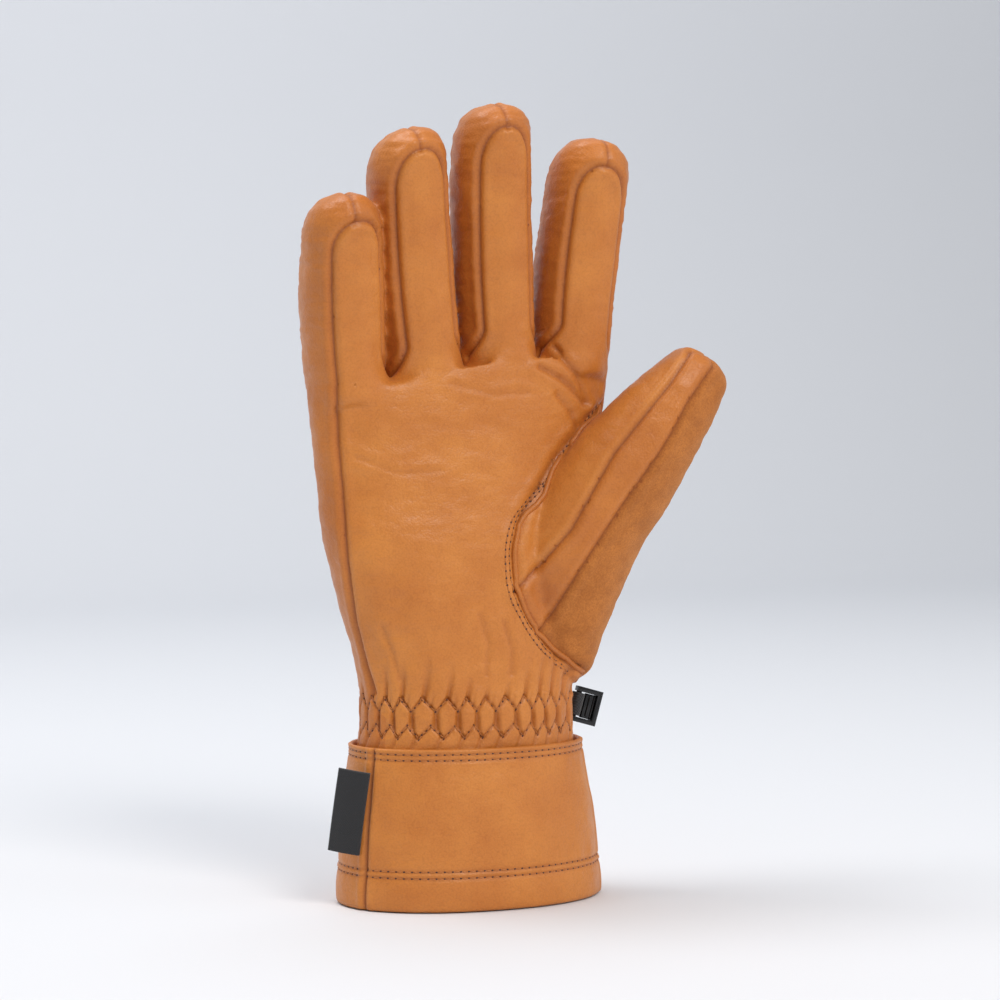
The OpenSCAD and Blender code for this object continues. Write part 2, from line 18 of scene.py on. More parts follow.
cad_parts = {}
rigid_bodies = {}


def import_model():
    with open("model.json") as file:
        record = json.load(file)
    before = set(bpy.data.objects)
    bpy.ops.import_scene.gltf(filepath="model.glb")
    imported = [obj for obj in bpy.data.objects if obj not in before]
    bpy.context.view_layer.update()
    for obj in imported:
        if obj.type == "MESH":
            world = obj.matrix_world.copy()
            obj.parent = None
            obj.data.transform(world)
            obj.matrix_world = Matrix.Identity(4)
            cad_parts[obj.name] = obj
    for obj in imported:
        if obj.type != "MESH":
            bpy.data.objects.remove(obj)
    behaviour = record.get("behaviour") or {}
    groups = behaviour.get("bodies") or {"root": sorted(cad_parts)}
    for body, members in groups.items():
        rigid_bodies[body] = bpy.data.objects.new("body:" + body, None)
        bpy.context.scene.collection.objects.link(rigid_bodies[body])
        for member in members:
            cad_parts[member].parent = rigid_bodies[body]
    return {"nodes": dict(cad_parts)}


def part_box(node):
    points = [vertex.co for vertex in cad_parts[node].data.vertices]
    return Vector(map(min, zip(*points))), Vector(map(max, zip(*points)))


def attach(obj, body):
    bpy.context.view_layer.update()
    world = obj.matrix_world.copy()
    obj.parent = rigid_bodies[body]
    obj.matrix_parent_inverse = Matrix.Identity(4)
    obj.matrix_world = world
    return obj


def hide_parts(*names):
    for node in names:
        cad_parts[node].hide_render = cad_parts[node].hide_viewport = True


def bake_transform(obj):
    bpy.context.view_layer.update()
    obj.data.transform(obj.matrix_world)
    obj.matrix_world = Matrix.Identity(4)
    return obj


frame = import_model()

bl_info = {
    "name": "Ski Glove",
    "version": (1, 0, 0),
    "blender": (4, 5, 0),
    "location": "View3D > Sidebar > Ski Glove",
    "description": "Builds the leather, linings, trim and stage of a ski glove",
    "category": "Object",
}

MM = 0.001

# ---- Sizes shared with the CAD part ---------------------------------------------------
CUFF_H = 54.0
CUFF_HEM = (47.0, 31.0)
CUFF_TOP = (41.5, 27.5)
CUFF_SEAMS = (-66.0, 74.0)
WRIST_Z = 65.0
KNUCKLE_Z = 188.0
KNUCKLES = [(-58.4, 173.0), (-31.0, 177.5), (-3.6, 184.5), (23.8, 188.0), (51.2, 183.5)]
FINGERS = ["little", "ring", "middle", "index"]
LENGTH = [63.5, 80.5, 84.5, 74.0]
LEAN = [4.0, 8.9, 3.3, -8.8]
FINGER_HALF_D = 15.4
CURL = 15.0
FINGER_GAP = 1.8
PALM_PSI = 42.0
BACK_PSI = 128.0
ARCH_TO = [0.84, 0.9, 0.9, 0.86]
ARCH_TALL = 0.15
PALM_TURN = [7.0, 0.0, 0.0, 0.0]
WALL = 4.3
HAND_SEAMS = (-62.0, 76.0)
STRIP_PSI = (-35.0, 1.0)
THUMB_REAR_PSI = 192.0
THUMB_L = 47.0
CLIP_AT = (41.25, 2.0, 64.5)
CLIP_LEAN = math.radians(16)
ROOT = np.array([50.5, -19.0, 148.0])
ROOT_WAY = np.array([26.5, -11.0, 37.5]) / np.linalg.norm([26.5, -11.0, 37.5])
SPLIT_H = 0.8

# Where the pattern's lines lie when the palm is seen by an eye EYE_AWAY off, EYE_HIGH up, turned
# EYE_TURN degrees towards the little finger and dipped by EYE_DIP. Each point is a distance
# across and up from the line of sight. They are fixed and do not follow the frame's sizes.
EYE_TURN, EYE_AWAY, EYE_HIGH, EYE_DIP = -21.87, 916.9, 161.5, -0.56
GUSSET_LINE = [(60.0, 30.0), (46.5, 18.0), (37.7, 7.6), (29.1, -2.4), (18.1, -21.6), (15.4, -33.3),
               (16.4, -47.4), (24.0, -62.2), (30.9, -69.7), (39.8, -74.9), (50.0, -79.0)]
STRIP_LOW_LINE = [(12.0, -52.0), (17.1, -46.4), (35.0, -26.4), (49.8, 0.0), (69.0, 24.1),
                  (74.9, 33.4), (76.5, 37.0)]
STRIP_HIGH_LINE = [(18.0, -70.5), (24.0, -61.8), (38.1, -40.5), (51.5, -19.9), (65.6, 0.0),
                   (70.4, 7.9), (75.0, 17.0), (80.5, 25.0), (84.8, 31.0), (88.0, 36.0)]
SIDE_LINE = [(-46.2, 34.0), (-45.8, 25.1), (-45.1, 4.2), (-43.7, -12.3), (-42.0, -37.4),
             (-39.3, -58.1), (-35.5, -72.5), (-32.4, -82.8), (-31.3, -90.0)]

# Hand sections: left, right, z, half depth, exponent, share of the knuckle line's slope.
HAND = np.array([
    (-40.0, 37.6, 49.0, 24.5, 2.2, 0.0),
    (-38.4, 36.6, 65.0, 23.5, 2.2, 0.0),
    (-41.4, 37.4, 84.7, 23.2, 2.2, 0.0),
    (-46.4, 39.0, 100.7, 23.0, 2.2, 0.05),
    (-51.2, 40.5, 120.3, 22.1, 2.3, 0.15),
    (-53.6, 42.0, 141.3, 19.2, 2.4, 0.35),
    (-55.6, 47.2, 163.4, 17.0, 2.6, 0.65),
    (-58.4, 51.2, 187.5, 15.5, 2.8, 1.0),
])
# Sections of the ball of the thumb: centre, tilt in degrees, half width, half depth.
BALL = [
    ((29.0, -3.0, 68.0), 0, 1.5, 1.5),
    ((33.4, -5.0, 77.0), 0, 8.2, 10.0),
    ((32.0, -6.0, 89.0), 2, 14.0, 15.0),
    ((32.0, -8.0, 103.0), 6, 18.8, 18.0),
    ((34.5, -11.5, 119.0), 15, 20.5, 18.8),
    ((41.5, -15.0, 134.0), 26, 20.4, 18.4),
]
# Free thumb: share of its length, half width, half depth, exponent.
THUMB = [(0.0, 19.5, 18.0, 2.0), (0.22, 18.2, 17.1, 2.0), (0.45, 16.2, 15.6, 2.1),
         (0.68, 13.5, 13.4, 2.3), (0.86, 11.2, 11.0, 2.5), (1.0, 10.0, 9.4, 2.6)]

made = {}


# ---- Curves and sections --------------------------------------------------------------
def through(keys, values, x):
    """A smooth curve through values at keys, read at x."""
    keys, values = np.asarray(keys, float), np.asarray(values, float)
    x = np.atleast_1d(np.asarray(x, float))
    slopes = np.gradient(values, keys, axis=0)
    i = np.clip(np.searchsorted(keys, x, side="right") - 1, 0, len(keys) - 2)
    h = keys[i + 1] - keys[i]
    t = np.clip((x - keys[i]) / h, 0, 1)
    if values.ndim > 1:
        h, t = h[:, None], t[:, None]
    return ((2 * t**3 - 3 * t**2 + 1) * values[i] + (t**3 - 2 * t**2 + t) * h * slopes[i]
            + (3 * t**2 - 2 * t**3) * values[i + 1] + (t**3 - t**2) * h * slopes[i + 1])


def flat_power(x, n):
    return np.sign(x) * np.abs(x) ** (2 / n)


def knuckle_line(x):
    xs, zs = zip(*KNUCKLES)
    first = (zs[1] - zs[0]) / (xs[1] - xs[0])
    last = (zs[-1] - zs[-2]) / (xs[-1] - xs[-2])
    return (np.interp(x, xs, zs) + np.minimum(x - xs[0], 0) * first
            + np.maximum(x - xs[-1], 0) * last)


def rows_of(centre, way, a, b, n, share=0.0):
    """Section rows: centre, direction, half width, half depth, exponent, knuckle share."""
    count = len(a)
    way = np.broadcast_to(way, (count, 3))
    way = way / np.linalg.norm(way, axis=1)[:, None]
    share = np.broadcast_to(share, (count,))
    return np.column_stack([centre, way, a, b, np.broadcast_to(n, (count,)), share])


def axes_of(rows):
    way = rows[:, 3:6]
    palm = way * way[:, 1:2] + np.array([0.0, -1.0, 0.0])
    palm /= np.linalg.norm(palm, axis=1)[:, None]
    return np.cross(way, palm), palm


def on_section(rows, psi, depth=0.0):
    """Points of the sections at the angles psi, depth below the outer surface."""
    side, palm = axes_of(rows)
    psi = np.radians(psi)
    a = np.maximum(rows[:, 6] - depth, 0.3)
    b = np.maximum(rows[:, 7] - depth, 0.3)
    n = rows[:, 8]
    p = (rows[:, 0:3] + side * (a * flat_power(np.sin(psi), n))[:, None]
         + palm * (b * flat_power(np.cos(psi), n))[:, None])
    p[:, 2] += rows[:, 9] * (knuckle_line(p[:, 0]) - KNUCKLE_Z)
    return p


def read_section(rows, p):
    """Angle psi in degrees, and how far outside the section each point p is."""
    side, palm = axes_of(rows)
    q = p - rows[:, 0:3]
    n = rows[:, 8]
    x = (q * side).sum(1) / rows[:, 6]
    y = (q * palm).sum(1) / rows[:, 7]
    sine = np.sign(x) * np.abs(x) ** (n / 2)
    cosine = np.sign(y) * np.abs(y) ** (n / 2)
    reach = (np.abs(x) ** n + np.abs(y) ** n) ** (1 / n)
    return np.degrees(np.arctan2(sine, cosine)), (reach - 1) * np.minimum(rows[:, 6], rows[:, 7])


def hand_rows(z):
    left, right, _, b, n, share = through(HAND[:, 2], HAND, z).T
    count = len(left)
    centre = np.column_stack([(left + right) / 2, np.zeros(count), z])
    return rows_of(centre, (0, 0, 1), (right - left) / 2, b, n, share)


def thumb_chain():
    """The ball and the thumb as one chain of sections, keyed by length along it."""
    centre = [c for c, _, _, _ in BALL] + [ROOT + ROOT_WAY * THUMB_L * f for f, *_ in THUMB]
    centre = np.array(centre, float)
    way = [(math.sin(math.radians(t)), -0.4 * math.sin(math.radians(t)), math.cos(math.radians(t)))
           for _, t, _, _ in BALL] + [tuple(ROOT_WAY)] * len(THUMB)
    size = [(a, b, 2.0) for _, _, a, b in BALL] + [row[1:] for row in THUMB]
    keys = np.concatenate([[0], np.cumsum(np.linalg.norm(np.diff(centre, axis=0), axis=1))])
    return keys, np.column_stack([centre, way, size])


CHAIN_KEYS, CHAIN = thumb_chain()


def rounded_off(room, radius, power):
    """How far a section has shrunk when only room is left before the tip."""
    g = np.clip(1 - room / radius, 0, 1)
    return np.maximum(1 - g**power, 0.0) ** (1 / power)


def thumb_rows(s):
    """Sections of the ball and thumb at places s along them."""
    c = through(CHAIN_KEYS, CHAIN, s)
    room = CHAIN_KEYS[-1] - s
    return rows_of(c[:, :3], c[:, 3:6], np.maximum(c[:, 6] * rounded_off(room, 7.5, 2.7), 0.4),
                   np.maximum(c[:, 7] * rounded_off(room, 9.0, 2.3), 0.4), c[:, 8])


def finger_tilt(i):
    """Slope of the knuckle line under finger i."""
    (x0, z0), (x1, z1) = KNUCKLES[i], KNUCKLES[i + 1]
    return math.atan2(z1 - z0, x1 - x0)


def finger_frame(i):
    """Base point and turn of finger i."""
    t = finger_tilt(i)
    turn = np.array([(math.cos(t), 0, -math.sin(t)), (0, 1, 0), (math.sin(t), 0, math.cos(t))])
    base = (np.array([KNUCKLES[i][0], 0, KNUCKLES[i][1]])
            + np.array([KNUCKLES[i + 1][0], 0, KNUCKLES[i + 1][1]])) / 2
    return base, turn


def finger_half_w(i):
    """Half the width of finger i at its base."""
    (x0, z0), (x1, z1) = KNUCKLES[i], KNUCKLES[i + 1]
    return math.hypot(x1 - x0, z1 - z0) / 2 - FINGER_GAP / 2


def finger_rows(i, f, local=False):
    """Sections of finger i at shares f of its length."""
    count = len(f)
    centre = np.column_stack([LEAN[i] * f, -CURL * f * f, LENGTH[i] * f])
    room = LENGTH[i] * (1 - f)
    slim = 1 + 0.05 * np.sin(np.pi * np.clip(f, 0, 1) ** 0.8) ** 2 - 0.01 * np.clip(f, 0, 1)
    round_w, round_d = rounded_off(room, 14.0, 2.45), rounded_off(room, 14.5, 2.3)
    a = np.maximum(finger_half_w(i) * slim * round_w, 0.4)
    b = np.maximum(FINGER_HALF_D * slim * round_d, 0.4)
    way = np.array([0.0, 0.0, 1.0])
    if not local:
        base, turn = finger_frame(i)
        centre = base + centre @ turn.T
        way = turn @ way
    return rows_of(centre, np.tile(way, (count, 1)), a, b, 2.15)


def cuff_rows(z):
    """Sections of the cuff at heights z."""
    f = np.clip(z / CUFF_H, 0, 1)
    e = f * f * (3 - 2 * f)
    a = CUFF_HEM[0] + (CUFF_TOP[0] - CUFF_HEM[0]) * e
    b = CUFF_HEM[1] + (CUFF_TOP[1] - CUFF_HEM[1]) * e
    centre = np.column_stack([-1.3 * e, np.zeros(len(z)), z])
    return rows_of(centre, (0, 0, 1), a, b, 2.1)


# ---- Mesh helpers ---------------------------------------------------------------------
def mapped_grid(across, along, place, closed=False):
    """A grid whose points move to place(u, v), with u and v from 0 to 1."""
    bm = bmesh.new()
    bmesh.ops.create_grid(bm, x_segments=across, y_segments=along, size=1)
    uv = np.array([v.co[:2] for v in bm.verts]) / 2 + 0.5
    for vert, spot in zip(bm.verts, place(uv[:, 0], uv[:, 1]) * MM):
        vert.co = spot
    if closed:
        bmesh.ops.remove_doubles(bm, verts=bm.verts, dist=1e-6)
    return bm


def capped(bm):
    bmesh.ops.holes_fill(bm, edges=[e for e in bm.edges if e.is_boundary])
    bmesh.ops.recalc_face_normals(bm, faces=bm.faces)
    return bm


def to_object(bm, name, material=None, smooth=True):
    mesh = bpy.data.meshes.new(name)
    bm.to_mesh(mesh)
    bm.free()
    piece = bpy.data.objects.new(name, mesh)
    bpy.context.scene.collection.objects.link(piece)
    if material:
        mesh.materials.append(material)
    mesh.polygons.foreach_set("use_smooth", [smooth] * len(mesh.polygons))
    return piece


def coords(mesh):
    co = np.zeros(len(mesh.vertices) * 3)
    mesh.vertices.foreach_get("co", co)
    return co.reshape(-1, 3) / MM


def normals(mesh):
    no = np.zeros(len(mesh.vertices) * 3)
    mesh.vertices.foreach_get("normal", no)
    return no.reshape(-1, 3)


def put_back(mesh, co):
    mesh.vertices.foreach_set("co", (co * MM).ravel())
    mesh.update()


def point_attribute(mesh, name, values, kind="FLOAT"):
    attribute = mesh.attributes.get(name) or mesh.attributes.new(name, kind, "POINT")
    attribute.data.foreach_set("value" if kind == "FLOAT" else "vector",
                               np.asarray(values, np.float32).ravel())


def waves(co, size, seed=0.0):
    """Soft noise from -1 to 1 with features about size across, at each point."""
    shift = Vector((seed, seed * 1.7, seed * 0.6))
    return np.array([noise.noise(Vector(p) / size + shift) for p in co])


def hump(x, width):
    return np.exp(-((x / width) ** 2))


# ---- Materials ------------------------------------------------------------------------
def linear(colour):
    """An sRGB hex colour as linear RGBA."""
    parts = [int(colour[i : i + 2], 16) / 255 for i in (1, 3, 5)]
    return tuple(c / 12.92 if c <= 0.04045 else ((c + 0.055) / 1.055) ** 2.4 for c in parts) + (1,)


def add(tree, kind, inputs=None, **fields):
    """Adds one node with its fields, input values and incoming links."""
    made_node = tree.nodes.new(kind)
    for key, value in fields.items():
        setattr(made_node, key, value)
    for key, value in (inputs or {}).items():
        if isinstance(value, bpy.types.NodeSocket):
            tree.links.new(value, made_node.inputs[key])
        else:
            made_node.inputs[key].default_value = value
    return made_node


def new_material(name):
    material = bpy.data.materials.new(name)
    material.use_nodes = True
    tree = material.node_tree
    tree.nodes.clear()
    shader = add(tree, "ShaderNodeBsdfPrincipled")
    out = add(tree, "ShaderNodeOutputMaterial", {"Surface": shader.outputs["BSDF"]})
    out.location = (400, 0)
    return material, tree, shader


def mixed(tree, kind, factor, a, b):
    return add(tree, "ShaderNodeMix", {0: factor, 6: a, 7: b},
               data_type="RGBA", blend_type=kind).outputs[2]


def bumped(tree, height, distance, strength=1.0, normal=None):
    inputs = {"Height": height, "Distance": distance * MM, "Strength": strength}
    if normal is not None:
        inputs["Normal"] = normal
    return add(tree, "ShaderNodeBump", inputs).outputs["Normal"]


def goatskin(name, light, dark):
    """Full-grain goatskin, drum dyed and lightly finished: a fine pebbled grain, soft
    mottling where the dye took unevenly, and a low sheen that breaks up over the pebbles."""
    material, tree, shader = new_material(name)
    place = add(tree, "ShaderNodeTexCoord").outputs["Object"]
    mottle = add(tree, "ShaderNodeTexNoise",
                 {"Vector": place, "Scale": 1 / 0.022, "Detail": 5.0, "Roughness": 0.6})
    fine = add(tree, "ShaderNodeTexNoise",
               {"Vector": place, "Scale": 1 / 0.0016, "Detail": 3.0, "Roughness": 0.6})
    # Goat pebbles are about 0.5 mm across; they are drawn at 0.7 mm so that they show.
    bent = add(tree, "ShaderNodeVectorMath", {0: place, 1: (0, 0, 0)}, operation="ADD")
    stray = add(tree, "ShaderNodeVectorMath",
                {0: fine.outputs["Color"], "Scale": 0.0005}, operation="SCALE")
    tree.links.new(stray.outputs[0], bent.inputs[1])
    pebble = add(tree, "ShaderNodeTexVoronoi",
                 {"Vector": bent.outputs[0], "Scale": 1 / 0.0007, "Randomness": 0.9},
                 feature="F1")
    crease_and_shade = add(tree, "ShaderNodeAttribute", attribute_name="crease_and_shade").outputs["Fac"]
    crinkle = add(tree, "ShaderNodeTexNoise",
                  {"Vector": place, "Scale": 1 / 0.0045, "Detail": 4.0, "Distortion": 0.6})
    tone = add(tree, "ShaderNodeMapRange",
               {"Value": mottle.outputs["Fac"], "From Min": 0.34, "From Max": 0.66})
    base = mixed(tree, "MIX", tone.outputs[0], linear(dark), linear(light))
    # Painted shade: darker in the hollows between the pebbles and along seams and folds.
    pebble_shade = add(tree, "ShaderNodeMapRange", {"Value": pebble.outputs["Distance"],
                "From Min": 0.4, "From Max": 0.9, "To Min": 0.0, "To Max": 0.14})
    base = mixed(tree, "MULTIPLY", pebble_shade.outputs[0], base, linear("#8A4A1E"))
    depth = add(tree, "ShaderNodeMath", {0: crease_and_shade, 1: 0.52}, operation="MULTIPLY")
    base = mixed(tree, "MULTIPLY", depth.outputs[0], base, linear("#8A4A22"))
    tree.links.new(base, shader.inputs["Base Color"])
    rough = add(tree, "ShaderNodeMapRange", {"Value": crinkle.outputs["Fac"],
                "From Min": 0.3, "From Max": 0.7, "To Min": 0.38, "To Max": 0.5})
    tree.links.new(rough.outputs[0], shader.inputs["Roughness"])
    shader.inputs["IOR"].default_value = 1.48
    shader.inputs["Sheen Weight"].default_value = 0.06
    shader.inputs["Sheen Roughness"].default_value = 0.45
    soft = bumped(tree, crinkle.outputs["Fac"], 0.6, 0.5)
    grain = bumped(tree, pebble.outputs["Distance"], -0.11, 0.7, soft)
    fuzz = bumped(tree, fine.outputs["Fac"], 0.08, 0.5, grain)
    tree.links.new(fuzz, shader.inputs["Normal"])
    return material


def suede(name, light, dark):
    """Cowhide split suede, buffed to a short nap: matt, with soft brushed patches."""
    material, tree, shader = new_material(name)
    place = add(tree, "ShaderNodeTexCoord").outputs["Object"]
    brushed = add(tree, "ShaderNodeTexNoise",
                  {"Vector": place, "Scale": 1 / 0.008, "Detail": 4.0, "Roughness": 0.65})
    nap = add(tree, "ShaderNodeTexNoise",
              {"Vector": place, "Scale": 1 / 0.0006, "Detail": 3.0, "Roughness": 0.7})
    crease_and_shade = add(tree, "ShaderNodeAttribute", attribute_name="crease_and_shade").outputs["Fac"]
    tone = add(tree, "ShaderNodeMapRange",
               {"Value": brushed.outputs["Fac"], "From Min": 0.32, "From Max": 0.68})
    base = mixed(tree, "MIX", tone.outputs[0], linear(dark), linear(light))
    speck = add(tree, "ShaderNodeMapRange", {"Value": nap.outputs["Fac"],
                "From Min": 0.35, "From Max": 0.65, "To Min": 0.35, "To Max": 0.0})
    base = mixed(tree, "MULTIPLY", speck.outputs[0], base, linear("#8A5228"))
    # Painted shade: darker along seams and folds, from the mesh's attribute.
    depth = add(tree, "ShaderNodeMath", {0: crease_and_shade, 1: 0.52}, operation="MULTIPLY")
    base = mixed(tree, "MULTIPLY", depth.outputs[0], base, linear("#8A4A22"))
    tree.links.new(base, shader.inputs["Base Color"])
    shader.inputs["Roughness"].default_value = 0.88
    shader.inputs["Sheen Weight"].default_value = 0.35
    shader.inputs["Sheen Roughness"].default_value = 0.5
    shader.inputs["Sheen Tint"].default_value = linear("#D9A878")
    tree.links.new(bumped(tree, nap.outputs["Fac"], 0.25, 0.8), shader.inputs["Normal"])
    return material


def fleece():
    """Brushed polyester lining: short curled pile, charcoal, quite matt."""
    material, tree, shader = new_material("Brushed polyester fleece")
    place = add(tree, "ShaderNodeTexCoord").outputs["Object"]
    pile = add(tree, "ShaderNodeTexNoise",
               {"Vector": place, "Scale": 1 / 0.0014, "Detail": 4.0, "Distortion": 1.2})
    base = mixed(tree, "MIX", pile.outputs["Fac"], linear("#1E1F22"), linear("#3A3B40"))
    tree.links.new(base, shader.inputs["Base Color"])
    shader.inputs["Roughness"].default_value = 0.95
    shader.inputs["Sheen Weight"].default_value = 0.4
    tree.links.new(bumped(tree, pile.outputs["Fac"], 0.5, 0.9), shader.inputs["Normal"])
    return material


def thread(name, colour):
    """Bonded polyester sewing thread: three twisted plies with a faint silky shine."""
    material, tree, shader = new_material(name)
    place = add(tree, "ShaderNodeTexCoord").outputs["Object"]
    ply = add(tree, "ShaderNodeTexNoise", {"Vector": place, "Scale": 1 / 0.0005, "Detail": 2.0})
    base = mixed(tree, "MULTIPLY", ply.outputs["Fac"], linear(colour), linear("#C9A078"))
    tree.links.new(base, shader.inputs["Base Color"])
    shader.inputs["Roughness"].default_value = 0.55
    shader.inputs["Sheen Weight"].default_value = 0.2
    return material


def woven(name, light, dark, pitch, bump):
    """Warp and weft crossing at the given pitch in millimetres."""
    material, tree, shader = new_material(name)
    uv = add(tree, "ShaderNodeUVMap", uv_map="weave").outputs["UV"]
    parts = add(tree, "ShaderNodeSeparateXYZ", {"Vector": uv})
    turn = 2 * math.pi / pitch
    sides = []
    for axis in ("X", "Y"):
        angle = add(tree, "ShaderNodeMath", {0: parts.outputs[axis], 1: turn}, operation="MULTIPLY")
        sides.append(add(tree, "ShaderNodeMath", {0: angle.outputs[0]}, operation="SINE").outputs[0])
    cross = add(tree, "ShaderNodeMath", {0: sides[0], 1: sides[1]}, operation="MULTIPLY").outputs[0]
    level = add(tree, "ShaderNodeMapRange", {"Value": cross, "From Min": -1.0, "From Max": 1.0})
    base = mixed(tree, "MIX", level.outputs[0], linear(dark), linear(light))
    tree.links.new(base, shader.inputs["Base Color"])
    shader.inputs["Roughness"].default_value = 0.6
    shader.inputs["Sheen Weight"].default_value = 0.25
    tree.links.new(bumped(tree, level.outputs[0], bump, 0.8), shader.inputs["Normal"])
    return material


def acetal():
    """Injection-moulded black acetal: hard, slightly waxy and glossy, with faint flow marks."""
    material, tree, shader = new_material("Moulded black acetal")
    place = add(tree, "ShaderNodeTexCoord").outputs["Object"]
    flow = add(tree, "ShaderNodeTexNoise", {"Vector": place, "Scale": 1 / 0.004, "Detail": 2.0})
    base = mixed(tree, "MIX", flow.outputs["Fac"], linear("#0B0B0C"), linear("#17171A"))
    tree.links.new(base, shader.inputs["Base Color"])
    rough = add(tree, "ShaderNodeMapRange",
                {"Value": flow.outputs["Fac"], "To Min": 0.16, "To Max": 0.3})
    tree.links.new(rough.outputs[0], shader.inputs["Roughness"])
    shader.inputs["IOR"].default_value = 1.48
    tree.links.new(bumped(tree, flow.outputs["Fac"], 0.03, 0.4), shader.inputs["Normal"])
    return material


def painted(name, colour, roughness):
    """Matt studio paper: an even, very slightly toothed surface."""
    material, tree, shader = new_material(name)
    place = add(tree, "ShaderNodeTexCoord").outputs["Object"]
    tooth = add(tree, "ShaderNodeTexNoise", {"Vector": place, "Scale": 1 / 0.003, "Detail": 2.0})
    base = mixed(tree, "MIX", tooth.outputs["Fac"], linear(colour), linear(colour))
    tree.links.new(base, shader.inputs["Base Color"])
    shader.inputs["Roughness"].default_value = roughness
    return material


def finish_of(kind):
    """Each material, made once."""
    settings = bpy.context.scene.ski_glove
    makers = {
        "palm": lambda: goatskin("Full-grain goatskin, palm",
                                 settings.leather_light, settings.leather_dark),
        "side": lambda: goatskin("Full-grain goatskin, side strips",
                                 settings.strip_light, settings.strip_dark),
        "suede": lambda: suede("Split suede, thumb", settings.suede_light, settings.suede_dark),
        "fleece": fleece,
        "thread": lambda: thread("Bonded polyester thread", settings.thread),
        # Painted shade: dark discs at the needle holes.
        "hole": lambda: thread("Shaded needle hole", "#5A2C12"),
        "label": lambda: woven("Black damask label", "#1B1C20", "#09090B", 0.9, 0.08),
        "webbing": lambda: woven("Black nylon webbing", "#2A2A2E", "#0C0C0E", 1.1, 0.2),
        "acetal": acetal,
    }
    if kind not in made:
        made[kind] = makers[kind]()
    return made[kind]


# ---- Leather skin of the hand, fingers and thumb --------------------------------------
def closed_loft(rows_at, start, end, along, across):
    """A tube through sections from start to end, capped."""
    def place(u, v):
        return on_section(rows_at(start + (end - start) * v), 360 * u)
    return capped(mapped_grid(across, along, place, closed=True))


def whole_skin():
    """One closed skin round the hand, the four fingers and the thumb."""
    lofts = [closed_loft(hand_rows, 49.0, 187.5, 70, 120),
             closed_loft(thumb_rows, 0.0, CHAIN_KEYS[-1] - 0.02, 90, 90)]
    for i in range(4):
        below = -6.0 / LENGTH[i]
        lofts.append(closed_loft(lambda f, i=i: finger_rows(i, f), below, 0.9998, 80, 72))
    whole = bmesh.new()
    for loft in lofts:
        pour(loft, whole)
    skin = to_object(whole, "leather_skin")
    voxels = skin.modifiers.new("even", "REMESH")
    voxels.mode = "VOXEL"
    voxels.voxel_size = 0.85 * MM
    evaluated = skin.evaluated_get(bpy.context.evaluated_depsgraph_get())
    even = bpy.data.meshes.new_from_object(evaluated)
    skin.modifiers.clear()
    skin.data = even
    bm = bmesh.new()
    bm.from_mesh(even)
    for _ in range(5):
        bmesh.ops.smooth_vert(bm, verts=bm.verts, factor=0.5, use_axis_x=True,
                              use_axis_y=True, use_axis_z=True)
    # The palm runs on into the fingers without a step at their bases.
    bases = [v for v in bm.verts
             if -6.5 < v.co.z / MM - knuckle_line(v.co.x / MM) < 6.5 and v.co.x < 53 * MM]
    for _ in range(32):
        bmesh.ops.smooth_vert(bm, verts=bases, factor=0.5, use_axis_x=True,
                              use_axis_y=True, use_axis_z=True)
    # The gathered wrist needs finer faces than the rest.
    band = [e for e in bm.edges
            if all(53 * MM < v.co.z < 84 * MM for v in e.verts)]
    bmesh.ops.subdivide_edges(bm, edges=band, cuts=1, use_grid_fill=True)
    bmesh.ops.triangulate(bm, faces=bm.faces)
    bm.to_mesh(even)
    bm.free()
    return skin


def read_hand(co):
    """Angle, distance outside and height of points against the hand's sections."""
    z = co[:, 2].copy()
    for _ in range(6):
        rows = hand_rows(np.clip(z, 49, 187.5))
        z = co[:, 2] - rows[:, 9] * (knuckle_line(co[:, 0]) - KNUCKLE_Z)
    rows = hand_rows(np.clip(z, 49, 187.5))
    rows[:, 2] = co[:, 2]
    psi, out = read_section(rows, co)
    return psi, out, z


def seen(co):
    """Points as distances across and up from the line of sight, and the sight directions."""
    turn, dip = math.radians(EYE_TURN), math.radians(EYE_DIP)
    eye = np.array([math.sin(turn) * EYE_AWAY, -math.cos(turn) * EYE_AWAY, EYE_HIGH])
    ahead = np.array([-math.sin(turn) * math.cos(dip), math.cos(turn) * math.cos(dip),
                      math.sin(dip)])
    right = np.array([math.cos(turn), math.sin(turn), 0.0])
    up = np.cross(right, ahead)
    ray = co - eye
    far = ray @ ahead
    sight = ray / np.linalg.norm(ray, axis=1)[:, None]
    return np.column_stack([ray @ right, ray @ up]) / far[:, None] * EYE_AWAY, sight


def beside(flat, line):
    """Signed distance from a line: positive on its left as it runs."""
    line = np.array(line, float)
    near, signed = np.full(len(flat), 1e3), np.zeros(len(flat))
    for p, q in zip(line[:-1], line[1:]):
        way = q - p
        t = np.clip(((flat - p) @ way) / (way @ way), 0, 1)
        off = flat - p - t[:, None] * way
        gap = np.linalg.norm(off, axis=1)
        side = np.sign(way[0] * (flat - p)[:, 1] - way[1] * (flat - p)[:, 0])
        better = gap < near - 1e-9
        near[better], signed[better] = gap[better], (side * gap)[better]
    return signed


def read_thumb(co):
    """Angle, distance outside and place along the ball and thumb, for points near them."""
    psi, out, place = np.zeros(len(co)), np.full(len(co), 50.0), np.zeros(len(co))
    near = np.nonzero((co[:, 0] > 8) & (co[:, 2] > 60))[0]
    for k in np.array_split(near, max(len(near) // 20000, 1)):
        psi[k], out[k], place[k] = read_chain(co[k])
    return psi, out, place


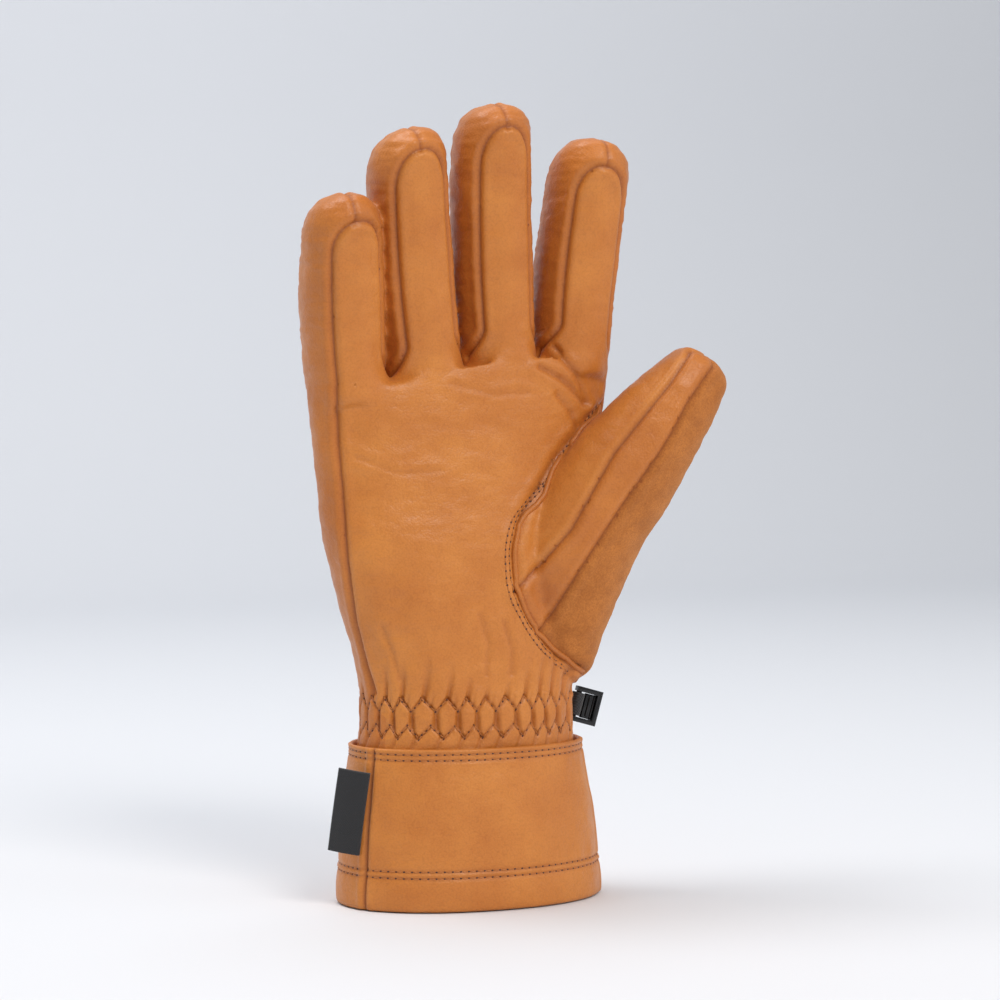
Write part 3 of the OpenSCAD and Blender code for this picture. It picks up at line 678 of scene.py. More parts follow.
def read_chain(co):
    """Angle, distance outside and place along the ball and thumb."""
    s = np.linspace(0, CHAIN_KEYS[-1] - 0.05, 160)
    rows = thumb_rows(s)
    ahead = co @ rows[:, 3:6].T - (rows[:, 0:3] * rows[:, 3:6]).sum(1)
    apart = np.linalg.norm(co[:, None, :] - rows[None, :, 0:3], axis=2)
    best = np.argmin(np.abs(ahead) * 3 + apart * 0.25, axis=1)
    psi, out = read_section(rows[best], co)
    beyond = np.maximum(ahead[np.arange(len(co)), best], 0) * (best == len(s) - 1)
    return psi, out + beyond, s[best]


def read_finger(i, co):
    """Angle, distance outside, share of length and distance from finger i's middle."""
    base, turn = finger_frame(i)
    q = (co - base) @ turn
    f = q[:, 2] / LENGTH[i]
    rows = finger_rows(i, np.clip(f, 0, 0.985), local=True)
    rows[:, 2] = q[:, 2]
    psi, out = read_section(rows, q)
    middle = rows[:, 0:2]
    return psi, out, f, np.linalg.norm(q[:, 0:2] - middle, axis=1)


def palm_edge(i, f, way):
    """Half angle of a finger's palm leather: it opens out at the crotch."""
    h = np.clip(f * LENGTH[i], 0, 10)
    outer = (i == 0 and way < 0) or (i == 3 and way > 0)
    wide = {0: PALM_PSI, 3: 64.0}[i] if outer else 84.0
    return PALM_PSI + (wide - PALM_PSI) * (1 - h / 10) ** 1.7


def back_edge(i, f, way):
    """Half angle at which a finger's back leather starts: it opens out at the crotch."""
    h = np.clip(f * LENGTH[i], 0, 12)
    outer = (i == 0 and way < 0) or (i == 3 and way > 0)
    wide = BACK_PSI if outer else 98.0
    return BACK_PSI + (wide - BACK_PSI) * (1 - h / 12) ** 1.7


def arch_field(i, psi, f):
    """Negative on the palm leather of a finger, zero on its arched seam, about 1 per mm."""
    edge = np.where(psi < 0, palm_edge(i, f, -1), palm_edge(i, f, 1))
    low = np.abs(psi) / edge - 1
    high = np.hypot(psi / PALM_PSI, (f - ARCH_TO[i] + ARCH_TALL) / ARCH_TALL) - 1
    return np.where(f < ARCH_TO[i] - ARCH_TALL, low, high) * 10


def snap_to_line(co, edges, field, allow):
    """Moves the nearer end of each edge that crosses field = 0 on to the crossing."""
    i, j = edges[:, 0], edges[:, 1]
    crossing = (field[i] * field[j] < 0) & allow[i] & allow[j]
    crossing &= np.abs(field[i] - field[j]) < 60
    i, j = i[crossing], j[crossing]
    t = field[i] / (field[i] - field[j])
    near, far = np.where(t < 0.5, i, j), np.where(t < 0.5, j, i)
    share = np.minimum(t, 1 - t)
    order = np.argsort(-share)
    near, far, share = near[order], far[order], share[order]
    target = co.copy()
    target[near] = co[near] + (co[far] - co[near]) * share[:, None]
    co[:] = target
    field[near] = 0
    return np.unique(near)


def away_from(points, co, limit=9.0):
    """Distance from each point to the nearest of some seam points."""
    tree = KDTree(len(points))
    for k, p in enumerate(points):
        tree.insert(p, k)
    tree.balance()
    low, high = points.min(0) - limit, points.max(0) + limit
    gap = np.full(len(co), 1e3)
    for k in np.nonzero(((co > low) & (co < high)).all(1))[0]:
        gap[k] = tree.find(co[k])[2]
    return gap


def wrist_length(psi):
    """Length round the wrist from the ulnar seam to the angle psi."""
    angles = np.arange(0.0, 361.0)
    ring = on_section(hand_rows(np.full(361, WRIST_Z)), angles + HAND_SEAMS[0])
    run = np.concatenate([[0], np.cumsum(np.linalg.norm(np.diff(ring, axis=0), axis=1))])
    return np.interp((psi - HAND_SEAMS[0]) % 360, angles, run), run[-1]


# Heights of the two elastic stitch rows, their zigzag's half height, and the pucker spacing.
UPPER_ROW, LOWER_ROW, ZIG, PUCKER = 68.5, 59.4, 2.3, 6.7


def zigzag(turn):
    """A triangle wave, 1 at whole turns and -1 halfway between."""
    return 4 * np.abs((turn % 1) - 0.5) - 1


def gather_turn(psi):
    """Place round the wrist counted in puckers, slightly uneven."""
    run, total = wrist_length(psi)
    turn = run / total * round(total / PUCKER)
    lap = 2 * np.pi * run / total
    return turn + 0.14 * np.sin(3 * lap + 1) + 0.1 * np.sin(7 * lap)


def gathers(psi, z):
    """How far the elasticated wrist leather stands out, with its creases, and the painted shade in
    them.
    """
    turn = gather_turn(psi)
    from_fold = np.abs(turn % 1 - 0.5) * PUCKER
    which = np.floor(turn + 0.5)
    long = 0.35 + 0.65 * np.sin(which * 12.9898 + 4.1) ** 2
    upper = UPPER_ROW + ZIG * zigzag(turn)
    lower = LOWER_ROW + ZIG * 0.9 * zigzag(turn + 0.68)
    middle = np.clip((z - lower) / (upper - lower), 0, 1)
    cell = (4 * middle * (1 - middle)) ** 0.5
    deep = cell * hump(from_fold - 0.5 * (0.5 - middle), 0.85)
    out = cell * 0.75 - 1.9 * deep
    over = np.clip(z - UPPER_ROW, 0, 40)
    near = ((turn - over * 0.03 + 0.5) % 1 - 0.5) * PUCKER
    fade = np.clip(1 - over / (19 * long), 0, 1) * (z > upper - 0.6)
    line = hump(near, 0.6 + 0.05 * over) * fade
    second = hump(near - 2.1 - 0.05 * over, 0.5) * np.clip(1 - over / 6, 0, 1) * fade
    out += fade * 0.55 * (1 - hump(near, 1.9)) - 1.35 * line - 0.5 * second
    under = np.clip(LOWER_ROW - z, 0, 40)
    near = ((turn + 0.18 + under * 0.05 + 0.5) % 1 - 0.5) * PUCKER
    fade = np.clip(1 - under / 10, 0, 1) * (z < lower + 0.6)
    down = hump(near, 0.8) * fade
    out += 0.5 * fade - 1.1 * down
    pinch = np.maximum(hump(z - upper, 0.8), hump(z - lower, 0.8))
    shade = np.maximum.reduce([0.8 * pinch, 0.75 * deep, 0.7 * line, 0.35 * second, 0.55 * down])
    return out - 0.7 * pinch, shade


# Creases where the palm folds in use, seen like the pattern's lines, with their depth.
CREASES = [
    ([(24.5, 29.5), (31.2, 25.8), (35.3, 22.4), (39.5, 17.0)], 0.75),
    ([(29.5, 36.4), (36.7, 26.8), (40.8, 17.2)], 0.6),
    ([(30.0, 20.3), (34.6, 14.5), (37.4, 8.6)], 0.45),
    ([(-6.0, 24.0), (8.0, 20.0), (20.0, 21.0)], 0.2),
    ([(-38.0, -2.0), (-24.0, -7.0), (-10.0, -6.0)], 0.18),
    ([(-30.0, -60.0), (-26.0, -70.0), (-24.0, -78.0)], 0.3),
    ([(4.0, -56.0), (7.0, -66.0), (6.0, -76.0)], 0.3),
    ([(12.0, -58.0), (15.0, -68.0), (14.5, -76.0)], 0.35),
]


def crease_depth(flat, facing):
    """How deep the palm's creases are at each point that faces the eye."""
    depth = np.zeros(len(flat))
    for points, deep in CREASES:
        points = np.array(points, float)
        gap = np.full(len(flat), 1e3)
        for p, q in zip(points[:-1], points[1:]):
            t = np.clip(((flat - p) @ (q - p)) / ((q - p) @ (q - p)), 0, 1)
            gap = np.minimum(gap, np.linalg.norm(flat - p - t[:, None] * (q - p), axis=1))
        depth += deep * (1.5 * hump(gap, 1.0) - 0.55 * hump(gap - 2.4, 1.6))
    return depth * facing


def face_names(corner_region, corner_fields):
    """The piece that each face belongs to, from its corners' region and fields."""
    names = np.full(len(corner_region), "back_leather", dtype=object)

    def side_of(key):
        field = corner_fields[key]
        widest = np.argmax(np.abs(field), axis=1)
        return field[np.arange(len(field)), widest]

    thumb = side_of("gusset") < 0
    finger = (side_of("split") > 0) & ~thumb
    palm = side_of("hand_side") < 0
    names[~thumb & ~finger & palm] = "palm_leather"
    inner, strip = side_of("strip_low") < 0, side_of("strip_high") < 0
    names[thumb] = "thumb_suede_back"
    names[thumb & strip] = "thumb_strip_leather"
    names[thumb & inner] = "thumb_inner_leather"
    which = np.median(corner_region, axis=1).astype(int)
    arch, rear, tip = side_of("arch") < 0, side_of("rear") > 0, side_of("tip") < 0
    for i, label in enumerate(FINGERS):
        here = finger & (which == i)
        names[here] = label + "_radial_leather"
        names[here & tip] = label + "_ulnar_leather"
        names[here & rear] = label + "_back_leather"
        names[here & arch] = label + "_palm_leather"
    return names


def seam_profile(gap):
    """A turned seam: a narrow groove with the padding swelling beside it."""
    return -1.05 * hump(gap, 0.95) + 0.42 * hump(gap - 2.6, 1.5)


def sew_skin():
    """Cut the skin along its seams, shape the seams and folds, and name its faces."""
    skin = whole_skin()
    mesh = skin.data
    co = coords(mesh)
    edges = np.zeros(len(mesh.edges) * 2, int)
    mesh.edges.foreach_get("vertices", edges)
    edges = edges.reshape(-1, 2)
    hand_psi, hand_out, _ = read_hand(co)
    thumb_psi, thumb_out, _ = read_thumb(co)
    height = co[:, 2] - knuckle_line(co[:, 0]) - SPLIT_H
    near = [read_finger(i, co) for i in range(4)]
    which = np.argmin(np.column_stack([n[3] for n in near]), axis=1)
    rows = np.arange(len(co))
    finger_psi = np.column_stack([n[0] for n in near])[rows, which]
    finger_out = np.column_stack([n[1] for n in near])[rows, which]
    finger_f = np.column_stack([n[2] for n in near])[rows, which]
    body_out = np.where(height > 0, finger_out, hand_out)
    flat, sight = seen(co)
    facing = np.clip(-(normals(mesh) * sight).sum(1) * 3 + 0.2, 0, 1)
    facing *= np.clip((co[:, 2] - 64) / 2, 0, 1)

    def from_front(line, field, share=facing, limit=8):
        front = np.clip(-beside(flat, line), -limit, limit)
        return front * share + np.clip(field, -limit, limit) * (1 - share)

    fields = {"gusset": from_front(GUSSET_LINE, thumb_out - body_out), "split": height.copy()}
    in_hand = (height < 0) & (fields["gusset"] > 0)
    in_finger = (height > 0) & (fields["gusset"] > 0)
    in_thumb = fields["gusset"] < 0
    side = np.where(hand_psi > 180, hand_psi - 360, hand_psi)
    fields["hand_side"] = np.maximum(HAND_SEAMS[0] - side, side - HAND_SEAMS[1]) * 0.45
    fields["hand_side"] = from_front(SIDE_LINE, fields["hand_side"],
                                     facing * (co[:, 0] < 0), 20)
    rear = THUMB_REAR_PSI - 360
    turn = np.where(thumb_psi > rear, thumb_psi, thumb_psi + 360)
    round_mm = 0.28  # length round the thumb for each degree of its section
    fields["strip_low"] = np.where(np.abs(turn - STRIP_PSI[0]) < np.abs(turn - rear),
                                   turn - STRIP_PSI[0], rear - turn) * round_mm
    fields["strip_low"] = np.where(turn > 100, np.abs(fields["strip_low"]), fields["strip_low"])
    fields["strip_high"] = (turn - STRIP_PSI[1]) * round_mm
    for key, line in (("strip_low", STRIP_LOW_LINE), ("strip_high", STRIP_HIGH_LINE)):
        fields[key] = from_front(line, fields[key])
    arch = np.zeros(len(co))
    back = np.zeros(len(co))
    for i in range(4):
        here = which == i
        arch[here] = arch_field(i, finger_psi[here] - PALM_TURN[i], finger_f[here])
        edge = np.where(finger_psi < 0, back_edge(i, finger_f, -1), back_edge(i, finger_f, 1))
        back[here] = ((np.abs(finger_psi) - edge) * 0.27)[here]
    fields.update(arch=arch, rear=back, tip=np.where(np.abs(finger_psi) < 150, finger_psi * 0.2,
                                                     np.sign(finger_psi) * 30))
    on_gusset = snap_to_line(co, edges, fields["gusset"], co[:, 2] > 60)
    snap_to_line(co, edges, fields["split"], fields["gusset"] > 0)
    on_side = snap_to_line(co, edges, fields["hand_side"], in_hand)
    by_strip = in_thumb & ((np.abs(thumb_psi) < 100) | (facing > 0.9))
    on_thumb = np.concatenate([snap_to_line(co, edges, fields["strip_low"], in_thumb),
                               snap_to_line(co, edges, fields["strip_high"], by_strip)])
    on_arch = snap_to_line(co, edges, fields["arch"], in_finger)
    on_rear = snap_to_line(co, edges, fields["rear"], in_finger)
    on_tip = snap_to_line(co, edges, fields["tip"],
                          in_finger & (finger_f > np.array(ARCH_TO)[which] - 0.01)
                          & (np.abs(finger_psi) < 100))
    put_back(mesh, co)

    corners = np.zeros(len(mesh.polygons) * 3, int)
    mesh.polygons.foreach_get("vertices", corners)
    corners = corners.reshape(-1, 3)
    names = face_names(which[corners], {k: v[corners] for k, v in fields.items()})

    no = normals(mesh)
    outer_seam = [on_arch, on_thumb, on_side[co[on_side, 2] > 72]]
    seams = away_from(co[np.concatenate(outer_seam)], co)
    tips = away_from(co[on_tip], co)
    backs = away_from(co[on_rear], co)
    gusset = away_from(co[on_gusset], co)
    # The second value is painted shade in the wrist's gathers and stitch rows.
    gather, pinch = gathers(hand_psi, co[:, 2])
    wrist = np.clip((co[:, 2] - 50) / 3, 0, 1) * (fields["gusset"] > -1) * (co[:, 2] < 92)
    palm_side = np.clip(-no[:, 1] * 2, 0, 1)
    push = seam_profile(seams) - 0.5 * hump(tips, 0.8) + 0.12 * hump(tips - 2, 1.2)
    push += 0.75 * seam_profile(backs) * np.clip(finger_f * 8 + 0.2, 0, 1)
    push += (-0.9 * hump(gusset, 1.5) + 0.35 * hump(gusset - 3.6, 1.6)) * (0.4 + 0.6 * palm_side)
    push += gather * wrist
    crease_and_shade = crease_depth(flat, facing)
    push -= crease_and_shade
    calm = np.clip(np.minimum(seams, gusset) / 4, 0.25, 1)
    push += calm * (0.55 * waves(co, 17, 3) + 0.28 * waves(co * (1, 1, 1.6), 7, 9)
                    + 0.1 * waves(co * (0.7, 1, 2.2), 3.2, 5))
    # A loose strip puckers across the side walls of each finger.
    pucker = waves(co * (0.5, 0.5, 3.4), 6.0, 21)
    walls = in_finger & (fields["arch"] > 1) & (fields["rear"] < 1)
    push += 0.32 * pucker * walls * calm
    limit = np.clip(push, -2.2, 1.7)
    put_back(mesh, co + no * limit[:, None])
    # Painted shade for the leather's colour: seams, gusset, wrist gathers and palm creases.
    shade = np.maximum.reduce([hump(seams, 0.6), 0.8 * hump(tips, 0.6), 0.8 * hump(backs, 0.6),
                               0.8 * hump(gusset, 1.0), pinch * (wrist > 0.5),
                               np.clip(crease_and_shade * 0.6, 0, 0.5)])
    point_attribute(mesh, "crease_and_shade", np.clip(shade, 0, 1))
    made["skin_tree"] = BVHTree.FromPolygons([Vector(p) for p in coords(mesh)], corners.tolist())
    made["gusset_points"] = co[on_gusset]
    return skin, names


def ordered_path(points, step):
    """Points of one line that climbs steadily, averaged every step millimetres of z."""
    keys = np.round(points[:, 2] / step).astype(int)
    return np.array([points[keys == k].mean(0) for k in np.unique(keys)])


def kind_of_leather(piece):
    if "suede" in piece:
        return "suede"
    return "palm" if "palm" in piece or "inner" in piece else "side"


def part_skin(skin, names):
    """Cuts the skin into its sewn pieces, which keep the whole skin's shading."""
    mesh = skin.data
    kinds = sorted(set(names))
    index = {kind: k for k, kind in enumerate(kinds)}
    point_attribute(mesh, "whole_normal", normals(mesh), "FLOAT_VECTOR")
    mesh.materials.clear()
    for kind in kinds:
        mesh.materials.append(finish_of(kind_of_leather(kind)))
    order = [index[n] for n in names]
    mesh.polygons.foreach_set("material_index", order)
    mesh.attributes.new("part", "INT", "FACE").data.foreach_set("value", order)
    mesh.update()
    bpy.ops.object.select_all(action="DESELECT")
    skin.select_set(True)
    bpy.context.view_layer.objects.active = skin
    before = set(bpy.data.objects) - {skin}
    bpy.ops.object.mode_set(mode="EDIT")
    bpy.ops.mesh.select_all(action="SELECT")
    bpy.ops.mesh.separate(type="MATERIAL")
    bpy.ops.object.mode_set(mode="OBJECT")
    pieces = {}
    for piece in [made_now for made_now in bpy.data.objects if made_now not in before]:
        part = piece.data.attributes["part"]
        k = part.data[0].value
        piece.data.attributes.remove(part)
        material = finish_of(kind_of_leather(kinds[k]))
        piece.data.materials.clear()
        piece.data.materials.append(material)
        piece.data.polygons.foreach_set("material_index", [0] * len(piece.data.polygons))
        whole = np.zeros(len(piece.data.vertices) * 3, np.float32)
        piece.data.attributes["whole_normal"].data.foreach_get("vector", whole)
        piece.data.attributes.remove(piece.data.attributes["whole_normal"])
        piece.data.polygons.foreach_set("use_smooth", [True] * len(piece.data.polygons))
        piece.data.normals_split_custom_set_from_vertices(whole.reshape(-1, 3).tolist())
        piece.name = piece.data.name = kinds[k]
        pieces[kinds[k]] = piece
    return {kind: pieces[kind] for kind in kinds}


def in_frame(*p):
    """A place in millimetres as the frame's metres."""
    return tuple(float(x) * MM for x in p)


def bend_at_finger(piece):
    """Bakes a piece's placement into its mesh; the piece is not made to follow a finger."""
    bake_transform(piece)


def bend_at_thumb(piece):
    """Bakes a piece's placement into its mesh; the piece is not made to follow the thumb."""
    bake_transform(piece)


# ---- Operators ------------------------------------------------------------------------
class SKIGLOVE_OT_leather(bpy.types.Operator):
    """Sew the leather of the hand, the fingers and the thumb"""

    bl_idname = "skiglove.leather"
    bl_label = "Hand, Finger and Thumb Leather"

    def execute(self, context):
        pieces = part_skin(*sew_skin())
        for name in ("palm_leather", "back_leather"):
            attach(pieces[name], "hand")
        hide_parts("palm_panel")
        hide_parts("back_panel")
        for i, finger in enumerate(FINGERS):
            for part, node in (("palm", "palm"), ("ulnar", "ulnar_side"),
                               ("radial", "radial_side"), ("back", "back")):
                piece = pieces[f"{finger}_{part}_leather"]
                bend_at_finger(piece)
                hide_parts(f"{finger}_{node}")
        for name, nodes in (("thumb_inner_leather", ("thumb_inner", "thumb_base_leather")),
                            ("thumb_strip_leather", ("thumb_strip",)),
                            ("thumb_suede_back", ("thumb_suede", "thumb_base_suede"))):
            bend_at_thumb(pieces[name])
            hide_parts(*nodes)
        return {"FINISHED"}


def tube(path, radius, sides, name, material):
    """A round cord of leather along path, closed at both ends."""
    path = np.asarray(path, float)
    way = np.gradient(path, axis=0)
    way /= np.linalg.norm(way, axis=1)[:, None]
    first = np.cross(way, (0.0, 1.0, 0.0))
    first /= np.linalg.norm(first, axis=1)[:, None]
    second = np.cross(way, first)
    last = len(path) - 1

    def place(u, v):
        k = v * last
        i = np.clip(np.floor(k).astype(int), 0, last - 1)
        t = (k - i)[:, None]
        spot = path[i] * (1 - t) + path[i + 1] * t
        a = first[i] * (1 - t) + first[i + 1] * t
        b = second[i] * (1 - t) + second[i + 1] * t
        r = radius * np.clip(np.minimum(v, 1 - v) * last / 2, 0.15, 1) ** 0.5
        angle = 2 * np.pi * u
        return spot + a * (r * np.cos(angle))[:, None] + b * (r * np.sin(angle))[:, None]

    bm = capped(mapped_grid(sides, last * 2, place, closed=True))
    return to_object(bm, name, material)


def new_rows():
    return {"thread": bmesh.new(), "hole": bmesh.new()}


def pour(source, into):
    """Adds one bmesh to another and frees it."""
    part = bpy.data.meshes.new("part")
    source.to_mesh(part)
    source.free()
    into.from_mesh(part)
    bpy.data.meshes.remove(part)


def stitch_run(rows, spots, outs, length, gap, thick):
    """Thread stitches along the spots, each between two needle holes."""
    spots, outs = np.asarray(spots, float), np.asarray(outs, float)
    run = np.concatenate([[0], np.cumsum(np.linalg.norm(np.diff(spots, axis=0), axis=1))])
    count = max(int(run[-1] / (length + gap)), 1)
    pitch = run[-1] / count
    threads, holes = bmesh.new(), bmesh.new()
    for k in range(count):
        ends = [np.array([np.interp(pitch * k + s, run, spots[:, c]) for c in range(3)])
                for s in (0.0, pitch - gap)]
        out = np.array([np.interp(pitch * (k + 0.5), run, outs[:, c]) for c in range(3)])
        out /= np.linalg.norm(out)
        way = ends[1] - ends[0]
        size = np.linalg.norm(way)
        way = way / size
        basis = Matrix((way, np.cross(out, way), out)).transposed().to_4x4()
        # The small dark discs at the needle holes are painted shade.
        for bm, spot, spread, facets in (
                (threads, (ends[0] + ends[1]) / 2 + out * 0.05,
                 (size / 2, thick / 2, thick * 0.42, 1), (8, 5)),
                (holes, ends[0] - way * gap * 0.5, (0.42, 0.36, 0.12, 1), (6, 4))):
            place = (Matrix.Translation(Vector(spot) * MM) @ Matrix.Scale(MM, 4) @ basis
                     @ Matrix.Diagonal(spread))
            bmesh.ops.create_uvsphere(bm, u_segments=facets[0], v_segments=facets[1],
                                      radius=1, matrix=place)
    pour(threads, rows["thread"])
    pour(holes, rows["hole"])


def thread_piece(rows, name):
    for face in rows["hole"].faces:
        face.material_index = 1
    bm = rows["thread"]
    pour(rows["hole"], bm)
    bmesh.ops.recalc_face_normals(bm, faces=bm.faces)
    piece = to_object(bm, name, finish_of("thread"))
    piece.data.materials.append(finish_of("hole"))
    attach(piece, "hand")
    return piece


def on_leather(p, lift=0.0):
    """The nearest place on the sewn leather, and its outward direction."""
    spot, out, _, _ = made["skin_tree"].find_nearest(Vector(p))
    return np.array(spot) + np.array(out) * lift, np.array(out)


class SKIGLOVE_OT_gusset(bpy.types.Operator):
    """Lay the welt in the seam round the ball of the thumb, with its stitch rows"""

    bl_idname = "skiglove.gusset"
    bl_label = "Gusset Welt"

    def execute(self, context):
        points = made["gusset_points"]
        points = points[(points[:, 1] < 4) & (points[:, 0] < 50)]
        path = ordered_path(points, 2.0)
        for _ in range(3):
            path[1:-1] = (path[:-2] + 2 * path[1:-1] + path[2:]) / 4
        sunk = np.array([on_leather(p, 0.15)[0] for p in path])
        welt = tube(sunk, 1.0, 10, "gusset_welt_leather", finish_of("side"))
        # Painted shade: the sunk welt is evenly darkened a little.
        point_attribute(welt.data, "crease_and_shade", np.full(len(welt.data.vertices), 0.15))
        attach(welt, "hand")
        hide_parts("gusset_welt")
        rows = new_rows()
        way = np.gradient(path, axis=0)
        way /= np.linalg.norm(way, axis=1)[:, None]
        for offset in (2.3, 3.8):
            spots, outs = [], []
            for p, w in zip(path, way):
                _, out = on_leather(p)
                across = np.cross(w, (0.0, -1.0, 0.0))
                across *= -np.sign(across[0]) if abs(across[0]) > 0.2 else 1.0
                spot, out = on_leather(p + across / np.linalg.norm(across) * offset, 0.05)
                spots.append(spot)
                outs.append(out)
            spots = np.array(spots)
            for _ in range(2):
                spots[1:-1] = (spots[:-2] + 2 * spots[1:-1] + spots[2:]) / 4
            spots = np.array([on_leather(p, 0.05)[0] for p in spots])
            stitch_run(rows, spots, outs, 1.7, 0.7, 0.5)
        thread_piece(rows, "gusset_stitches")
        return {"FINISHED"}


class SKIGLOVE_OT_wrist(bpy.types.Operator):
    """Sew the two zigzag rows that hold the elastic behind the wrist"""

    bl_idname = "skiglove.wrist"
    bl_label = "Wrist Elastic Stitching"

    def execute(self, context):
        rows = new_rows()
        angles = np.arange(0, 360, 0.1)
        turn = gather_turn(angles)
        for level, phase, name in ((UPPER_ROW, 0.0, "upper"), (LOWER_ROW, 0.68, "lower")):
            high = 1.0 if name == "upper" else 0.9
            z = level + ZIG * high * zigzag(turn + phase)
            half = np.floor((turn + phase) * 2)
            corners = np.concatenate([[0], np.nonzero(np.diff(half) != 0)[0] + 1])
            for a, b in zip(corners[:-1], corners[1:]):
                pick = np.linspace(a, b, 6).astype(int)
                flat = on_section(hand_rows(z[pick]), angles[pick])
                found = [on_leather(p, 0.06) for p in flat]
                if any(np.linalg.norm(f[0] - p) > 4 for f, p in zip(found, flat)):
                    continue
                stitch_run(rows, [f[0] for f in found], [f[1] for f in found], 1.5, 0.5, 0.45)
        thread_piece(rows, "wrist_stitches")
        return {"FINISHED"}


# Cuff profile: depth below the outer surface and height, from the hem's inner edge,
# round the bottom fold, up the outside and over the top fold.
CUFF_PROFILE = [(3.4, 12.6), (2.9, 9.0), (2.7, 4.0), (2.3, 1.1), (1.5, 0.25), (0.6, 0.05),
                (0.1, 0.6), (0.0, 1.6)]
CUFF_LIP = [(0.0, 52.6), (0.15, 53.5), (0.7, 54.0), (1.3, 53.7), (1.6, 52.8), (1.8, 49.5)]
HEM_ROWS = (11.2, 13.4)
LIP_ROWS = (50.2, 52.2)


def cuff_profile():
    outside = [(0.0, z) for z in np.arange(2.4, 52.4, 0.6)]
    return np.array(CUFF_PROFILE + outside + CUFF_LIP, float)


def cuff_relief(psi, z, co, start, end):
    """Padding, stitched-down hem and lip, and seams at the cuff's two side edges."""
    edge = np.minimum((psi - start), (end - psi)) * 0.68
    push = -0.9 * hump(edge, 0.9) + 0.5 * hump(edge - 2.6, 1.5)
    for row in HEM_ROWS + LIP_ROWS:
        push -= 0.38 * hump(z - row, 0.55)
    push += 0.3 * hump(z - 53.4, 0.9) + 0.25 * hump(z - 6, 4.5) + 0.25 * hump(z - 12.3, 0.6)
    swell = np.sin(np.pi * np.clip((z - 14) / 36, 0, 1))
    push += 0.9 * swell
    push += (0.7 * waves(co * (1, 1, 0.6), 22, 31) + 0.2 * waves(co, 7, 12)) * (0.3 + 0.7 * swell)
    # Short drag lines rise from the hem's stitching.
    drag = waves(co * (1.0, 1.0, 0.22), 3.4, 44)
    push += 0.22 * drag * (hump(z - 16.5, 4) + hump(z - 47, 4) + 0.5 * hump(z - 8, 3))
    return push


class SKIGLOVE_OT_cuff(bpy.types.Operator):
    """Build the flared cuff with its turned hem, folded lip and stitch rows"""

    bl_idname = "skiglove.cuff"
    bl_label = "Cuff"

    def execute(self, context):
        profile = cuff_profile()
        spans = (("cuff_palm_leather", CUFF_SEAMS[0], CUFF_SEAMS[1], ("cuff_palm", "cuff_hem")),
                 ("cuff_back_leather", CUFF_SEAMS[1], 360 + CUFF_SEAMS[0], ("cuff_back",)))
        stitches = new_rows()
        for name, start, end, nodes in spans:
            across = int((end - start) * 1.15)
            shades = []

            def place(u, v, start=start, end=end):
                k = v * (len(profile) - 1)
                i = np.clip(np.floor(k).astype(int), 0, len(profile) - 2)
                t = (k - i)[:, None]
                spot = profile[i] * (1 - t) + profile[i + 1] * t
                psi = start + (end - start) * u
                rows = cuff_rows(spot[:, 1])
                flat = on_section(rows, psi)
                out = on_section(rows, psi, -1.0) - flat
                outer = np.clip(1 - spot[:, 0] / 1.2, 0, 1)
                push = cuff_relief(psi, spot[:, 1], flat, start, end) * outer - spot[:, 0]
                # Painted shade: darker at the side seams and along the stitch rows.
                edge = np.minimum(psi - start, end - psi) * 0.68
                rows_near = np.min([np.abs(spot[:, 1] - r) for r in HEM_ROWS + LIP_ROWS], axis=0)
                shades.append(np.maximum(hump(edge, 0.7), 0.45 * hump(rows_near, 0.5)) * outer)
                return flat + out * push[:, None]

            bm = mapped_grid(across, (len(profile) - 1), place)
            bmesh.ops.recalc_face_normals(bm, faces=bm.faces)
            piece = to_object(bm, name, finish_of("palm"))
            point_attribute(piece.data, "crease_and_shade", np.clip(shades[0], 0, 1))
            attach(piece, "hand")
            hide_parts(*nodes)
            angles = np.linspace(start + 1.5, end - 1.5, across)
            for row in HEM_ROWS + LIP_ROWS:
                rows = cuff_rows(np.full(across, row))
                flat = on_section(rows, angles)
                out = on_section(rows, angles, -1.0) - flat
                push = cuff_relief(angles, np.full(across, row), flat, start, end)
                stitch_run(stitches, flat + out * (push[:, None] + 0.1), out, 1.9, 0.8, 0.5)
        thread_piece(stitches, "cuff_stitches")
        return {"FINISHED"}


def lining_piece(name, bm, nodes):
    """A fleece tube that stands for the lining and insulation nodes."""
    bmesh.ops.recalc_face_normals(bm, faces=bm.faces)
    piece = to_object(bm, name, finish_of("fleece"))
    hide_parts(*nodes)
    return piece


def ruffled(rows, psi, depth):
    """A lining surface that ripples softly instead of lying flat."""
    p = on_section(rows, psi, depth)
    out = on_section(rows, psi, depth - 1) - p
    return p + out * (0.25 * waves(p, 6, 17))[:, None]


